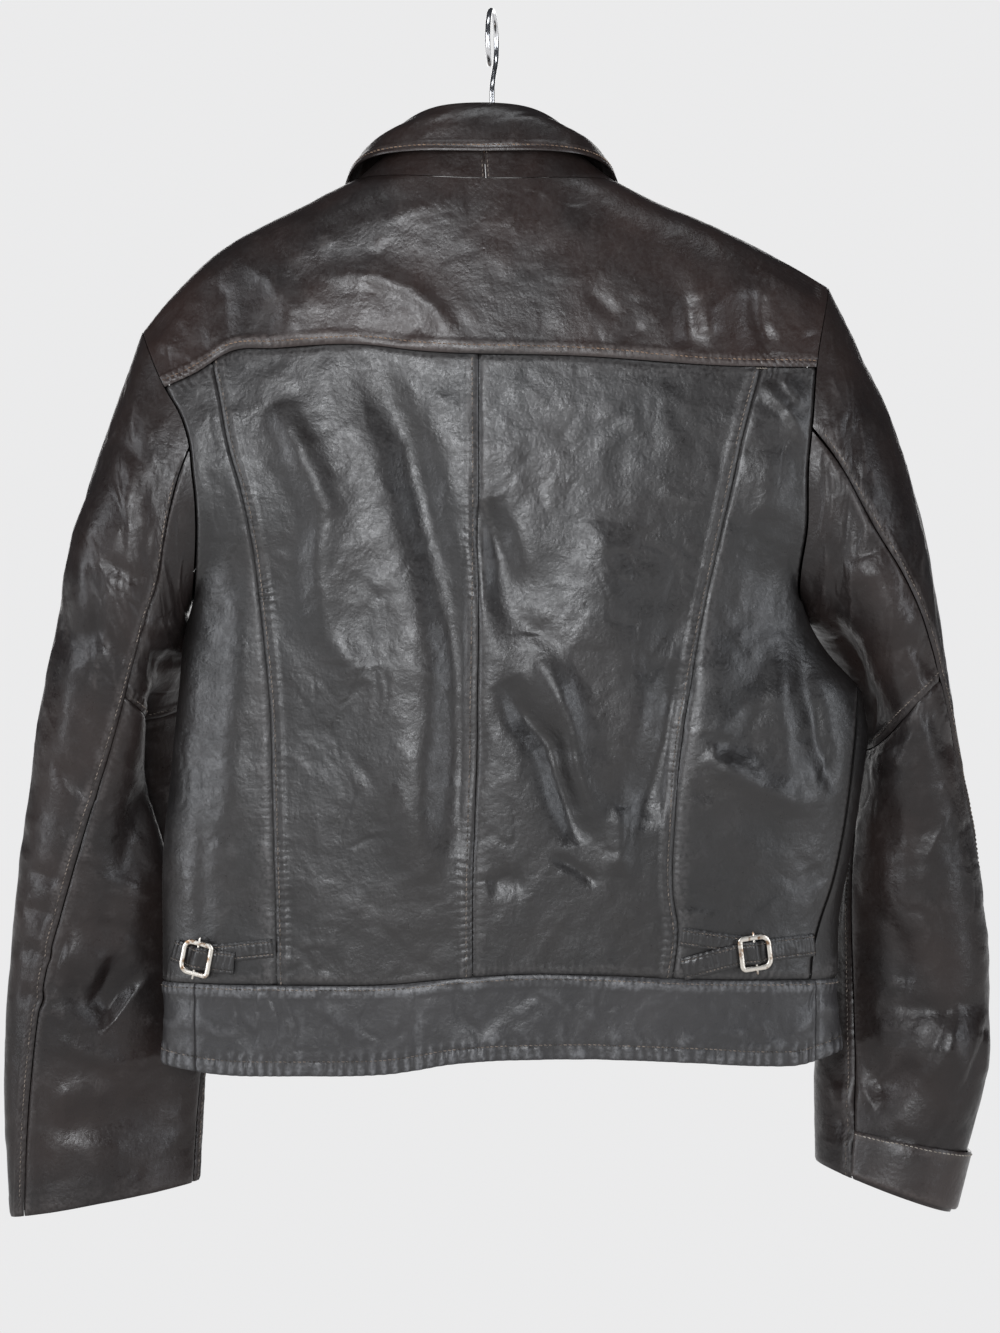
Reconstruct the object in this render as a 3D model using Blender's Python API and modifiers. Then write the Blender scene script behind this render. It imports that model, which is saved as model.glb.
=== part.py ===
"""A worn leather jacket, hung on a hanger.

Sizes are in millimetres until a mesh is made, which is in metres.
The origin is where the hook bears on a rod.
+Z is up, the jacket's back faces -Y, and +X is the wearer's right,
which is the right of the back view.
"""
import math

import bmesh
import bpy
import numpy as np

MM = 0.001
WALL = 1.4  # thickness of the leather
SEAM = 0.3  # gap between sewn pieces
BACK, FRONT = -1, 1
LEFT, RIGHT = "left", "right"

# Shoulder lines: (height, x) from the shoulder point up to the neck point.
SHOULDER = {
    LEFT: [(-217, -237), (-198, -222), (-184, -209), (-157, -177), (-143, -151), (-130, -124), (-114, -92)],
    RIGHT: [(-187, 228), (-171, 201), (-157, 175), (-143, 145), (-130, 114), (-115, 83)],
}
# Outer edges below the shoulder point: (height, x) along the armhole, the armpit and the side.
SIDE = {
    LEFT: [(-719, -224), (-630, -224), (-574, -224), (-513, -218), (-461, -213), (-417, -208), (-400, -203),
           (-373, -199), (-333, -198), (-313, -200), (-295, -202), (-276, -208), (-257, -219), (-217, -237)],
    RIGHT: [(-709, 238), (-661, 235), (-603, 238), (-576, 243), (-535, 250), (-508, 254), (-491, 256),
            (-475, 254), (-460, 250), (-437, 230), (-418, 216), (-400, 209), (-347, 211), (-311, 211),
            (-278, 214), (-242, 217), (-187, 228)],
}
LEVEL = -400.0  # height of both armpits
ARM_DEPTH = 46  # half depth of an armhole
ARM_EASE = 0.4  # added to the seam gap at an armhole, where two curved edges meet
# Half depth of the torso by height, behind and in front of the hanger.
DEPTH = {
    BACK: [(-720, 47), (-640, 50), (-520, 55), (-400, 58), (-280, 58), (-200, 54), (-150, 48), (-112, 42)],
    FRONT: [(-720, 45), (-640, 48), (-520, 52), (-400, 55), (-280, 56), (-200, 53), (-150, 49), (-112, 45)],
}
ROUND = 0.8  # below 1 the torso's sides are squarer than an ellipse's

# Seams of the back: (x, height) across, (height, x) down.
NECK_BACK = [(-92, -114), (-77, -114.5), (-13, -118), (66, -116), (83, -115)]
YOKE = [(-219, -257), (-197, -247), (-176, -234), (-145, -232), (-86, -230), (-52, -234), (60, -238),
        (162, -244), (214, -244), (218, -244)]
BAND = [(-224, -657), (-135, -657), (-68, -656), (-26, -652), (25, -649), (76, -650), (137, -653),
        (236, -655)]
HEM = [(-224, -713), (-196, -717), (-128, -718), (-68, -716), (-26, -709), (42, -706), (137, -709),
       (182, -712), (206, -712), (238, -704)]
PRINCESS = {
    LEFT: [(-657, -144), (-598, -145), (-520, -147), (-478, -148), (-410, -154), (-368, -159), (-327, -167),
           (-295, -176), (-263, -182), (-240, -187)],
    RIGHT: [(-655, 120), (-617, 124), (-598, 121), (-546, 122), (-512, 124), (-435, 136), (-376, 148),
            (-327, 159), (-290, 167), (-242, 180)],
}
CENTRE = [(-655, -13), (-598, -13), (-520, -11), (-400, -9), (-234, -9)]
SIDE_SEAM_RIGHT = [(-720, 219), (-624, 219), (-614, 222), (-591, 230), (-565, 236), (-534, 241), (-498, 245),
                   (-464, 248)]
BAND_SEAM = {LEFT: -201, RIGHT: 219}
# Rows of a panel below the armpits, and above them behind and in front.
LOW_STEPS, HIGH_STEPS, FRONT_STEPS = 15, 9, 12
BACK_STEPS = (5, 10, 10, 6)  # columns of the four back panels
SIDE_GAP = 0.0008  # half a seam, as a share of the way round the torso

# The hidden front: a plain buttoned opening, the wearer's left over the right.
FRONT_NECK_DROP = 62
FRONT_BAND = [(-224, -657), (0, -657), (236, -655)]
FRONT_HEM = [(-224, -713), (-120, -716), (0, -713), (130, -713), (238, -704)]
OVERLAP = 15  # each front's reach past the middle
UNDERLAP = 2.6  # how far the right front's edge lies inside the left one's
FRONT_MIDDLE = -4
BUTTONS, BUTTON_HEIGHTS, BUTTON_GAP = 5, (-205, -684), 0.4
BUTTON_RADIUS, BUTTON_HEIGHT = 8.5, 3.0

# Sleeves: rows from armhole to cuff of outer x, z, inner x, z, middle y, lean and half depth.
SLEEVE = {
    LEFT: [(-237, -217, -203, -400, 0, 0, 46), (-254, -262, -211, -420, 3, 0, 53),
           (-274, -323, -219, -450, 9, -5, 59), (-291, -385, -221, -487, 17, -10, 60),
           (-304, -450, -217, -528, 26, -14, 56), (-315, -518, -208, -578, 33, -18, 50),
           (-325, -590, -200, -628, 38, -21, 44), (-332, -662, -197, -682, 40, -21, 38),
           (-335, -735, -200, -738, 39, -18, 33), (-331, -821, -203, -800, 36, -14, 30)],
    RIGHT: [(228, -187, 209, -400, 0, 0, 46), (249, -229, 221, -413, 3, 0, 54),
            (274, -283, 236, -433, 9, -4, 60), (294, -353, 249, -462, 17, -8, 63),
            (308, -430, 253, -500, 26, -12, 62), (320, -508, 248, -548, 34, -16, 56),
            (334, -582, 238, -602, 40, -18, 50), (341, -655, 230, -662, 42, -18, 44),
            (339, -722, 225, -718, 40, -15, 41), (316, -818, 224, -786, 34, -10, 38)],
}
# Where the back and front seams of a sleeve run, in degrees round from its outer edge by way of the back.
BACK_SEAM = {LEFT: (84, 119, 120, 112, 98, 80, 65, 52, 45, 34), RIGHT: (86, 87, 87, 72, 47, 22, 5, -5, -9, -12)}
FRONT_SEAM = {LEFT: (228, 218, 208, 198, 190, 183, 176, 170, 165, 162),
              RIGHT: (228, 214, 200, 186, 172, 160, 146, 134, 127, 123)}
PIECING = {LEFT: (0.362, 0.30), RIGHT: (0.465, 0.45)}  # share of the sleeve's length at its two seams
TUCK = {LEFT: 10, RIGHT: 8}  # how far a sleeve's front reaches behind the torso below the armpit
SLEEVE_GAP = 0.3  # half the gap at the sleeve's long seams, in degrees
PIECE_GAP = 0.0003  # half the gap between upper and lower under-sleeve, as a share of the length
TOP_COLUMNS, UNDER_COLUMNS, UPPER_STEPS, LOWER_STEPS = 13, 9, 9, 12
TURNUP = dict(start=0.953, end=0.997, gap=0.6, wall=2.4, middle=(270, 34, -800))

# The largest folds of the back: height, half width and route. Raised is positive.
FOLDS = {
    BACK: [
        (-6, 13, [(-5, -334), (4, -368), (13, -398), (34, -422)]),
        (-7, 14, [(9, -453), (23, -478), (38, -496), (45, -520), (60, -562)]),
        (5, 14, [(32, -440), (52, -487), (62, -530), (66, -560)]),
        (-5, 16, [(-81, -246), (-56, -297), (-47, -334), (-36, -376), (-27, -418), (-24, -520), (-26, -570)]),
        (4, 20, [(-60, -400), (-62, -500), (-52, -600)]),
        (4, 18, [(-142, -270), (-122, -314), (-108, -347), (-112, -420)]),
        (-5, 14, [(124, -440), (114, -496), (100, -545)]),
        (-6, 13, [(204, -398), (188, -430), (160, -490)]),
        (-7, 12, [(209, -430), (212, -470), (220, -515)]),
        (6, 13, [(198, -440), (200, -500), (206, -545)]),
        (5, 14, [(142, -502), (175, -525), (205, -540)]),
        (4, 22, [(-172, -380), (-176, -480), (-174, -560)]),
        (4, 20, [(-150, -165), (-135, -195), (-122, -222)]),
        (-4, 14, [(-190, -185), (-182, -215), (-190, -240)]),
        (-5, 14, [(178, -187), (182, -217), (188, -238)]),
    ],
    FRONT: [
        (-5, 18, [(-150, -330), (-120, -420), (-110, -520)]),
        (5, 22, [(-80, -260), (-76, -400), (-84, -560)]),
        (-5, 18, [(140, -320), (116, -430), (112, -540)]),
        (5, 22, [(76, -260), (70, -420), (82, -600)]),
        (-5, 16, [(196, -410), (170, -470), (150, -540)]),
    ],
}
SLEEVE_FOLDS = {
    LEFT: [(-14, 15, [(-206, -436), (-220, -490), (-235, -540), (-250, -590)]),
           (-13, 17, [(-270, -655), (-248, -672)]), (5, 14, [(-292, -640), (-262, -648)]),
           (-5, 15, [(-300, -390), (-270, -440)]), (5, 20, [(-280, -330), (-290, -420)]),
           (-4, 14, [(-290, -742), (-215, -752)])],
    RIGHT: [(-14, 15, [(222, -428), (245, -462), (268, -500)]), (5, 22, [(250, -370), (275, -430)]),
            (6, 26, [(300, -700), (325, -712)]), (-6, 16, [(255, -735), (290, -716)]),
            (-5, 20, [(265, -540), (300, -560)])],
}

# Collar: rings of (degrees from the centre back, half width, y, height) for the roll and the free edge.
COLLAR_MIDDLE = -7
COLLAR_END = 173
ROLL = [(0, 0, -36, -66.5), (30, 31, -33, -69), (60, 53, -20, -78), (90, 66, 3, -91), (120, 62, 29, -114),
        (150, 38, 46, -142), (180, 0, 53, -158)]
EDGE = [(0, 0, -50, -101), (30, 46, -47, -100.5), (60, 76, -32, -103), (90, 91, 2, -110), (120, 96, 40, -132),
        (150, 86, 63, -178), (180, 58, 68, -222)]
STAND_DROP = 7  # from the roll down to the seam of stand and fall
LEG = 1.6  # how far the fall's inner leg lies inside the roll
NECK_GAP = (0.6, 2.0)  # between the neckline and the stand, behind and in front, where the fall covers it
COLLAR_STEPS = 36
STAND_GAP = 0.4  # half the gap at the stand's centre-back seam, in degrees

# Adjusters. Heights above the panel keep strap, anchor and buckle apart.
STRAP_WALL = 1.4
STRAPS = {
    RIGHT: dict(strap=[(217, -631), (187, -633.5), (164, -636.5), (127, -646)], strap_width=15,
                anchor=[(126, -624), (178, -632)], anchor_width=12.5, pin=175.0),
    LEFT: dict(strap=[(-214, -635), (-203, -638), (-190, -641), (-172, -642.5)], strap_width=15,
               anchor=[(-146, -632), (-199, -638)], anchor_width=12.5, pin=-196.5),
}
BUCKLE_LENGTH, BUCKLE_WIDTH, BUCKLE_BAR, BUCKLE_THICK, BUCKLE_CHAMFER = 23, 24, 3.4, 2.0, 0.6
PIN_RADIUS, PIN_REACH = 0.85, 2.5
BUCKLE_HEIGHT = 4.0  # underside above the panel

# Hanger.
ARM_RADIUS = 7
ARM_ROUTE = [(-211, -199), (-195, -183), (-151, -155), (-92, -127), (-50, -107), (-20, -97.5), (0, -95.5),
             (20, -97.5), (45, -107), (83, -127), (145, -155), (200, -183), (214, -190)]
WIRE_RADIUS = 1.8
HOOK_RADIUS = 19
HOOK_TURN = 82  # degrees between the hook's plane and the jacket's
HOOK_TIP, HOOK_BACK = 243, -38  # where its round starts and ends, in degrees
STEM_TOP, STEM_FOOT = -54, -87.7

for old in list(bpy.data.objects):
    bpy.data.objects.remove(old)
PARTS = bpy.data.collections.new("leather_jacket")
CUTTERS = bpy.data.collections.new("cutters")
bpy.context.scene.collection.children.link(PARTS)
bpy.context.scene.collection.children.link(CUTTERS)


def material(name, colour, roughness, metallic=0.0):
    made = bpy.data.materials.new(name)
    made.use_nodes = True
    shader = made.node_tree.nodes["Principled BSDF"]
    shader.inputs["Base Color"].default_value = (*colour, 1)
    shader.inputs["Roughness"].default_value = roughness
    shader.inputs["Metallic"].default_value = metallic
    return made


def smooth(points, at):
    """The height at 'at' of a smooth curve through (place, height) points."""
    place, height = np.array(sorted(points), float).T
    slope = np.gradient(height, place)
    at = np.clip(at, place[0], place[-1])
    i = np.clip(np.searchsorted(place, at) - 1, 0, len(place) - 2)
    step = place[i + 1] - place[i]
    t = (at - place[i]) / step
    return ((2 * t**3 - 3 * t**2 + 1) * height[i] + (t**3 - 2 * t**2 + t) * step * slope[i]
            + (3 * t**2 - 2 * t**3) * height[i + 1] + (t**3 - t**2) * step * slope[i + 1])


def rows_at(rows, at):
    """Each column of a table at 'at', which runs from 0 at its first row to 1 at its last."""
    table = np.array(rows, float)
    place = np.linspace(0, 1, len(table))
    return [smooth(list(zip(place, column)), at) for column in table.T]


def edge_x(side, z):
    """The torso's outermost x at a height: the shoulder line above the shoulder point, the side below it."""
    return np.where(z > SHOULDER[side][0][0], smooth(SHOULDER[side], z), smooth(SIDE[side], z))


def armhole_depth(side, z):
    """How far the armhole's edge lies from the middle plane: a half ellipse from shoulder point to armpit."""
    top, low = SHOULDER[side][0][0], LEVEL
    share = (z - (top + low) / 2) / ((top - low) / 2)
    return ARM_DEPTH * np.sqrt(np.clip(1 - share**2, 0, 1))


def section(z, face):
    """At a height: both edges' x, how much of the oval is left at each, and its half depth."""
    depth = smooth(DEPTH[face], z)
    kept = [np.sqrt(np.clip(1 - (armhole_depth(s, z) / depth) ** (2 / ROUND), 0, 1)) for s in (LEFT, RIGHT)]
    return edge_x(LEFT, z) + SEAM / 2, edge_x(RIGHT, z) - SEAM / 2, kept[0], kept[1], depth


def fold_height(folds, x, z):
    """The sum of all folds at a place, each a soft bump along its route."""
    total = np.zeros(np.broadcast(x, z).shape)
    for height, width, route in folds:
        far = np.full(total.shape, np.inf)
        for (x0, z0), (x1, z1) in zip(route[:-1], route[1:]):
            run = (x1 - x0) ** 2 + (z1 - z0) ** 2
            t = np.clip(((x - x0) * (x1 - x0) + (z - z0) * (z1 - z0)) / run, 0, 1)
            far = np.minimum(far, np.hypot(x - x0 - t * (x1 - x0), z - z0 - t * (z1 - z0)))
        total += height * np.exp(-((far / width) ** 2))
    return total


def oval_y(across, depth, x, z, face):
    """The torso's y where 'across' runs from -1 to 1 over the oval. Folds fade out towards its sides."""
    rise = np.clip(1 - across**2, 0, 1) ** (ROUND / 2)
    ridge = SEAM / 2 * np.clip((z + 380) / 60, 0, 1)
    return face * (depth * rise + ridge + fold_height(FOLDS[face], x, z) * np.clip(rise * 1.6 - 0.5, 0, 1))


def torso_at(x, z, face):
    """The torso's outer point at an x and a height."""
    left, right, kept_left, kept_right, depth = section(z, face)
    share = (x - left) / (right - left)
    across = -kept_left + share * (kept_left + kept_right)
    return np.stack([x, oval_y(across, depth, x, z, face), z], -1)


def torso_round(turn, z):
    """The same point by how far round it is: 0 left edge, 1 right edge by way of the back, 2 left again."""
    across = -np.cos(math.pi * turn)
    points = []
    for face in (BACK, FRONT):
        left, right, kept_left, kept_right, depth = section(z, face)
        x = left + (right - left) * (across + kept_left) / (kept_left + kept_right)
        points.append(np.stack([x, oval_y(across, depth, x, z, face), z], -1))
    behind = (turn % 2) <= 1
    return np.where(behind[..., None], points[0], points[1])


def turn_at(x, z, face):
    """How far round the torso an x on one face is."""
    left, right, kept_left, kept_right, _ = section(z, face)
    share = np.clip((x - left) / (right - left), 0, 1)
    turn = np.arccos(np.clip(kept_left - share * (kept_left + kept_right), -1, 1)) / math.pi
    return turn if face == BACK else 2 - turn


def normals(surface, u, v):
    """Unit normals of surface(u, v), from points close by."""
    e = 1e-4
    u0, u1, v0, v1 = np.clip(u - e, 0, 1), np.clip(u + e, 0, 1), np.clip(v - e, 0, 1), np.clip(v + e, 0, 1)
    n = np.cross(surface(u1, v) - surface(u0, v), surface(u, v1) - surface(u, v0))
    return n / np.maximum(np.linalg.norm(n, axis=-1, keepdims=True), 1e-12)


def armhole_normal(side, z):
    """Outwards in the plane of the armhole, as both sleeve and torso end there."""
    top, low = SHOULDER[side][0][0], LEVEL
    half = (top - low) / 2
    up = np.clip((z - (top + low) / 2) / half, -1, 1)
    n = np.stack([np.zeros_like(up), np.sqrt(1 - up**2) / ARM_DEPTH, up / half], -1)
    return n / np.linalg.norm(n, axis=-1, keepdims=True)


def add_mesh(name, points, faces, finish):
    """One closed solid from points in millimetres, with its faces turned outwards."""
    mesh = bpy.data.meshes.new(name)
    mesh.from_pydata((np.asarray(points) * MM).tolist(), [], faces)
    form = bmesh.new()
    form.from_mesh(mesh)
    bmesh.ops.recalc_face_normals(form, faces=form.faces)
    if form.calc_volume(signed=True) < 0:
        bmesh.ops.reverse_faces(form, faces=form.faces)
    form.to_mesh(mesh)
    form.free()
    mesh.shade_smooth()
    mesh.set_sharp_from_angle(angle=math.radians(50))
    made = bpy.data.objects.new(name, mesh)
    made.data.materials.append(finish)
    PARTS.objects.link(made)
    return made


def wall(name, outer, inner, finish):
    """A closed wall between two grids of points."""
    m, n = outer.shape[:2]
    at = np.arange(m * n).reshape(m, n)
    below = at + m * n
    corners = at[:-1, :-1], at[1:, :-1], at[1:, 1:], at[:-1, 1:]
    first, second = np.stack(corners[:3], -1), np.stack([corners[0], *corners[2:]], -1)
    upper = np.concatenate([first.reshape(-1, 3), second.reshape(-1, 3)])
    lower = (upper + m * n)[:, ::-1]
    rim = np.concatenate([at[:-1, 0], at[-1, :-1], at[:0:-1, -1], at[0, :0:-1]])
    low = np.concatenate([below[:-1, 0], below[-1, :-1], below[:0:-1, -1], below[0, :0:-1]])
    sides = np.stack([rim, low, np.roll(low, -1), np.roll(rim, -1)], -1)
    faces = upper.tolist() + lower.tolist() + sides.tolist()
    return add_mesh(name, np.concatenate([outer.reshape(-1, 3), inner.reshape(-1, 3)]), faces, finish)


def grid(across, along):
    """u and v over a panel, u changing along rows."""
    return np.meshgrid(np.linspace(0, 1, across), np.linspace(0, 1, along), indexing="ij")


def out_of(surface, u, v, outwards):
    """Points and outward normals of a panel. outwards gives a rough outward direction for each point."""
    points, n = surface(u, v), normals(surface, u, v)
    flip = np.sign((n * outwards(points)).sum(-1).sum())
    return points, n * flip


def from_axis(points):
    """Roughly outwards from the torso's middle."""
    return points * np.array([0.2, 1, 0])


def torso_panel(name, surface, columns, rows, finish):
    """A torso panel as a wall."""
    u, v = grid(columns, rows)
    outer, n = out_of(surface, u, v, from_axis)
    way = surface(np.clip(u + 1e-4, 0, 1), v) - surface(np.clip(u - 1e-4, 0, 1), v)
    upright = np.stack([-way[..., 2], 0 * u, way[..., 0]], -1) * np.sign(way[..., :1])
    upright = upright / np.linalg.norm(upright, axis=-1, keepdims=True)
    ridge = (abs(outer[..., 1]) < SEAM) & (v == 1)
    n = np.where(ridge[..., None], upright, n)
    return wall(name, outer, outer - n * WALL, finish)


def between(low, high, share):
    return low + (high - low) * share


def round_panel(left, right, low, high, knee=None):
    """A torso surface between two turns and two heights. Its row at the knee is at LEVEL."""

    def height(x, y, v):
        if knee is None:
            return between(low(x, y), high(x, y), v)
        under, over = np.clip(v / knee, 0, 1), np.clip((v - knee) / (1 - knee), 0, 1) ** 1.5
        return between(low(x, y), LEVEL, under) + (high(x, y) - LEVEL) * over

    def surface(u, v):
        z = between(-700.0, -300.0, v) + 0 * u
        for _ in range(5):
            x, y = torso_round(between(left(z), right(z), u), z)[..., :2].transpose(2, 0, 1)
            z = height(x, y, v)
        return torso_round(between(left(z), right(z), u), z)

    return surface


def height_of(behind, before, shift):
    """A seam's height all round the torso, from its (x, height) points on the back and on the front."""
    return lambda x, y: np.where(y <= 0, smooth(behind, x), smooth(before, x)) + shift


def seam_turn(seam, shift):
    """The turn of a seam down the back, moved sideways by shift."""
    return lambda z: turn_at(smooth(seam, z) + shift, z, BACK)


def side_seam_turn(z):
    """The right side seam: on the back low down, and running up into the armpit."""
    low = turn_at(smooth(SIDE_SEAM_RIGHT, z), z, BACK)
    start = SIDE_SEAM_RIGHT[-1][0]
    return between(low, 1.0, np.clip((z - start) / (LEVEL - start), 0, 1))


def armhole_turn(side, z):
    """The turn at which the back ends at an armhole's edge."""
    kept = section(z, BACK)[2 if side == LEFT else 3]
    cut = np.arccos(kept) / math.pi
    return cut if side == LEFT else 1 - cut


def outer_turn(side, z):
    """Where a side back panel ends: at the armhole, and at the side seam below it."""
    if side == LEFT:
        return np.where(z > LEVEL, armhole_turn(LEFT, z), SIDE_GAP)
    return np.where(z > LEVEL, armhole_turn(RIGHT, z), side_seam_turn(z) - SIDE_GAP)


def shoulder_path(side, share):
    """From the shoulder point, 0, to the neck point, 1."""
    z = between(SHOULDER[side][0][0], SHOULDER[side][-1][0], share)
    return smooth(SHOULDER[side], z), z


def back_surface(k):
    """One of the four back panels below the yoke, from the left."""
    half = SEAM / 2
    seams = [lambda z: outer_turn(LEFT, z), seam_turn(PRINCESS[LEFT], -half), seam_turn(PRINCESS[LEFT], half),
             seam_turn(CENTRE, -half), seam_turn(CENTRE, half), seam_turn(PRINCESS[RIGHT], -half),
             seam_turn(PRINCESS[RIGHT], half), lambda z: outer_turn(RIGHT, z)]
    return round_panel(seams[2 * k], seams[2 * k + 1], height_of(BAND, FRONT_BAND, half),
                       height_of(YOKE, YOKE, -half), LOW_STEPS / (LOW_STEPS + HIGH_STEPS))


def yoke_surface(u, v):
    """The yoke, from the back panels' upper edges to the shoulder lines and the neckline."""
    ends = np.concatenate([[0], np.cumsum(BACK_STEPS)]) / sum(BACK_STEPS)
    low_x, low_z = np.zeros(u.shape), np.zeros(u.shape)
    for k in range(4):
        share = np.clip((u - ends[k]) / (ends[k + 1] - ends[k]), 0, 1)
        edge = back_surface(k)(share, np.ones_like(u))
        here = (u >= ends[k] - 1e-9) & (u <= ends[k + 1] + 1e-9)
        low_x, low_z = np.where(here, edge[..., 0], low_x), np.where(here, edge[..., 2] + SEAM, low_z)
    third = 1 / 3
    v = np.sin(v * math.pi / 2)
    left_x, left_z = shoulder_path(LEFT, np.clip(u / third, 0, 1))
    right_x, right_z = shoulder_path(RIGHT, np.clip((1 - u) / third, 0, 1))
    neck_x = between(SHOULDER[LEFT][-1][1], SHOULDER[RIGHT][-1][1], np.clip((u - third) / third, 0, 1))
    top_x = np.where(u < third, left_x, np.where(u > 2 * third, right_x, neck_x))
    top_z = np.where(u < third, left_z, np.where(u > 2 * third, right_z, smooth(NECK_BACK, neck_x)))
    x, z = between(low_x, top_x, v), between(low_z, top_z, v)
    for side, k, at, near in ((LEFT, 0, 0, 1 - 6 * u), (RIGHT, 3, 1, 6 * u - 5)):
        corner = back_surface(k)(np.full((1, 1), float(at)), np.ones((1, 1)))[0, 0]
        x = x + armhole_bow(side, corner[0], corner[2] + SEAM, v) * np.clip(near, 0, 1)
    return torso_at(x, z, BACK)


def armhole_bow(side, low_x, low_z, share):
    """How far the torso's edge lies from the straight line between a low point and the shoulder point."""
    high_z, high_x = SHOULDER[side][0]
    inset = SEAM / 2 if side == LEFT else -SEAM / 2
    return edge_x(side, between(low_z, high_z, share)) + inset - between(low_x, high_x, share)


def front_neck(x):
    """The front neckline's height: a quarter ellipse down from each neck point."""
    left, right = SHOULDER[LEFT][-1], SHOULDER[RIGHT][-1]
    share = (x - FRONT_MIDDLE) / np.where(x < FRONT_MIDDLE, left[1] - FRONT_MIDDLE, right[1] - FRONT_MIDDLE)
    top = np.where(x < FRONT_MIDDLE, left[0], right[0])
    return top - FRONT_NECK_DROP * np.sqrt(1 - np.clip(share, 0, 1) ** 2)


def underlapped(points, side):
    """The right front's edge set back under the left front's."""
    if side == LEFT:
        return points
    inset = UNDERLAP * np.clip((FRONT_MIDDLE + OVERLAP + 40 - points[..., 0]) / 22, 0, 1)
    return points - inset[..., None] * np.array([0, 1, 0])


def front_side_turn(side):
    return (lambda z: 2 - SIDE_GAP + 0 * z) if side == LEFT else (lambda z: side_seam_turn(z) + SIDE_GAP)


def front_edge_turn(side):
    reach = FRONT_MIDDLE + (OVERLAP if side == LEFT else -OVERLAP)
    return lambda z: turn_at(reach, z, FRONT)


def front_surface(side):
    """One front, from its side seam and armhole, u 0, to its edge past the middle, u 1."""
    reach = FRONT_MIDDLE + (OVERLAP if side == LEFT else -OVERLAP)
    knee, corner = LOW_STEPS / (LOW_STEPS + FRONT_STEPS), 0.42
    below = round_panel(front_side_turn(side), front_edge_turn(side), height_of(BAND, FRONT_BAND, SEAM / 2),
                        lambda x, y: LEVEL + 0 * x)

    def above(u, share):
        start = below(u, np.ones_like(u))[..., 0]
        line_x, line_z = shoulder_path(side, np.clip(u / corner, 0, 1))
        past = np.clip((u - corner) / (1 - corner), 0, 1)
        neck_x = between(SHOULDER[side][-1][1], reach, 1 - np.cos(past * math.pi / 2))
        top_x = np.where(u < corner, line_x, neck_x)
        top_z = np.where(u < corner, line_z, front_neck(neck_x))
        share = (1 - np.cos(share * math.pi)) / 2
        x, z = between(start, top_x, share), between(LEVEL, top_z, share)
        corner_x = below(np.zeros((1, 1)), np.ones((1, 1)))[0, 0, 0]
        x = x + armhole_bow(side, corner_x, LEVEL, share) * np.cos(np.clip(u / 0.6, 0, 1) * math.pi / 2) ** 2
        return torso_at(x, z, FRONT)

    def surface(u, v):
        points = np.where((v > knee)[..., None], above(u, np.clip((v - knee) / (1 - knee), 0, 1)),
                          below(u, np.clip(v / knee, 0, 1)))
        return underlapped(points, side)

    return surface


def band_surface(left, right, side=LEFT):
    """The waistband between two turns."""
    low, high = height_of(HEM, FRONT_HEM, 0), height_of(BAND, FRONT_BAND, -SEAM / 2)
    surface = round_panel(left, right, low, high)
    return lambda u, v: underlapped(surface(u, v), side)


def cap_bow(side, c):
    """How far an armhole's edge lies from the straight line between shoulder point and armpit."""
    top_x, top_z, low_x, low_z = SLEEVE[side][0][:4]
    z = (top_z + low_z) / 2 + (top_z - low_z) / 2 * c
    chord = (top_x + low_x) / 2 + (top_x - low_x) / 2 * c
    return smooth(SIDE[side], np.clip(z, LEVEL, SHOULDER[side][0][0])) - chord


def sleeve_surface(side):
    """A sleeve by share of its length and degrees round from its outer edge by way of the back."""
    outwards = -1 if side == LEFT else 1

    def surface(s, degrees):
        round_it = np.radians(degrees)
        ox, oz, ix, iz, middle, lean, depth = rows_at(SLEEVE[side], s)
        c, d = np.cos(round_it), np.sin(round_it)
        cx = (ox + ix) / 2
        z = (oz + iz) / 2 + (oz - iz) / 2 * c
        fade = np.clip(1 - s / 0.14, 0, 1) ** 2
        ease = outwards * (SEAM / 2 + ARM_EASE) * fade
        below = np.clip((s - 0.09) / 0.11, 0, 1) * np.clip((0.62 - s) / 0.2, 0, 1)
        tuck = outwards * TUCK[side] * np.exp(-(((degrees - 200) / 28) ** 2)) * below
        x = cx + (ox - ix) / 2 * c + cap_bow(side, c) * fade - tuck
        fold = fold_height(SLEEVE_FOLDS[side], x, z) * np.clip(s / 0.1, 0, 1) * np.clip((1 - s) / 0.06, 0, 1)
        half = np.hypot(np.maximum(abs(ox - ix) / 2, 30) * c, depth * d)
        grow = 1 + fold * np.clip(d * 2.2, 0, 1) / half
        return np.stack([cx + (x - cx) * grow + ease, middle + (lean * c - depth * d) * grow, z], -1)

    return surface


def sleeve_panel(name, side, first, last, length, across, along, finish):
    """Part of a sleeve. first and last give degrees by length, and length gives it at shares u and v."""
    shape = sleeve_surface(side)
    u, v = grid(across, along)

    def surface(u, v):
        s = length(u, v)
        return shape(s, between(first(s), last(s), u))

    def outwards(points):
        s = length(u, v)
        ox, oz, ix, iz, middle, _, _ = rows_at(SLEEVE[side], s)
        return points - np.stack([(ox + ix) / 2, middle, (oz + iz) / 2], -1)

    outer, n = out_of(surface, u, v, outwards)
    reach = np.full(u.shape, float(WALL))
    ends = length(u, v)[:, 0] == 0
    at = armhole_normal(side, outer[:, 0, 2])
    at[:, 1] *= np.sign(outer[:, 0, 1] + 1e-9)
    if ends.all():
        reach[:, 0] = WALL / np.maximum((at * n[:, 0]).sum(-1), 0.5)
        n[:, 0] = at
    return wall(name, outer, outer - n * reach[..., None], finish)


def seam_degrees(table, way, turn=0):
    """A sleeve seam's degrees by length, half a gap to one side. The gap is wider at the armhole."""
    places = list(zip(np.linspace(0, 1, len(table)), table))
    return lambda s: smooth(places, s) + turn + way * (SLEEVE_GAP + 0.5 * np.clip(1 - s / 0.1, 0, 1))


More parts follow.
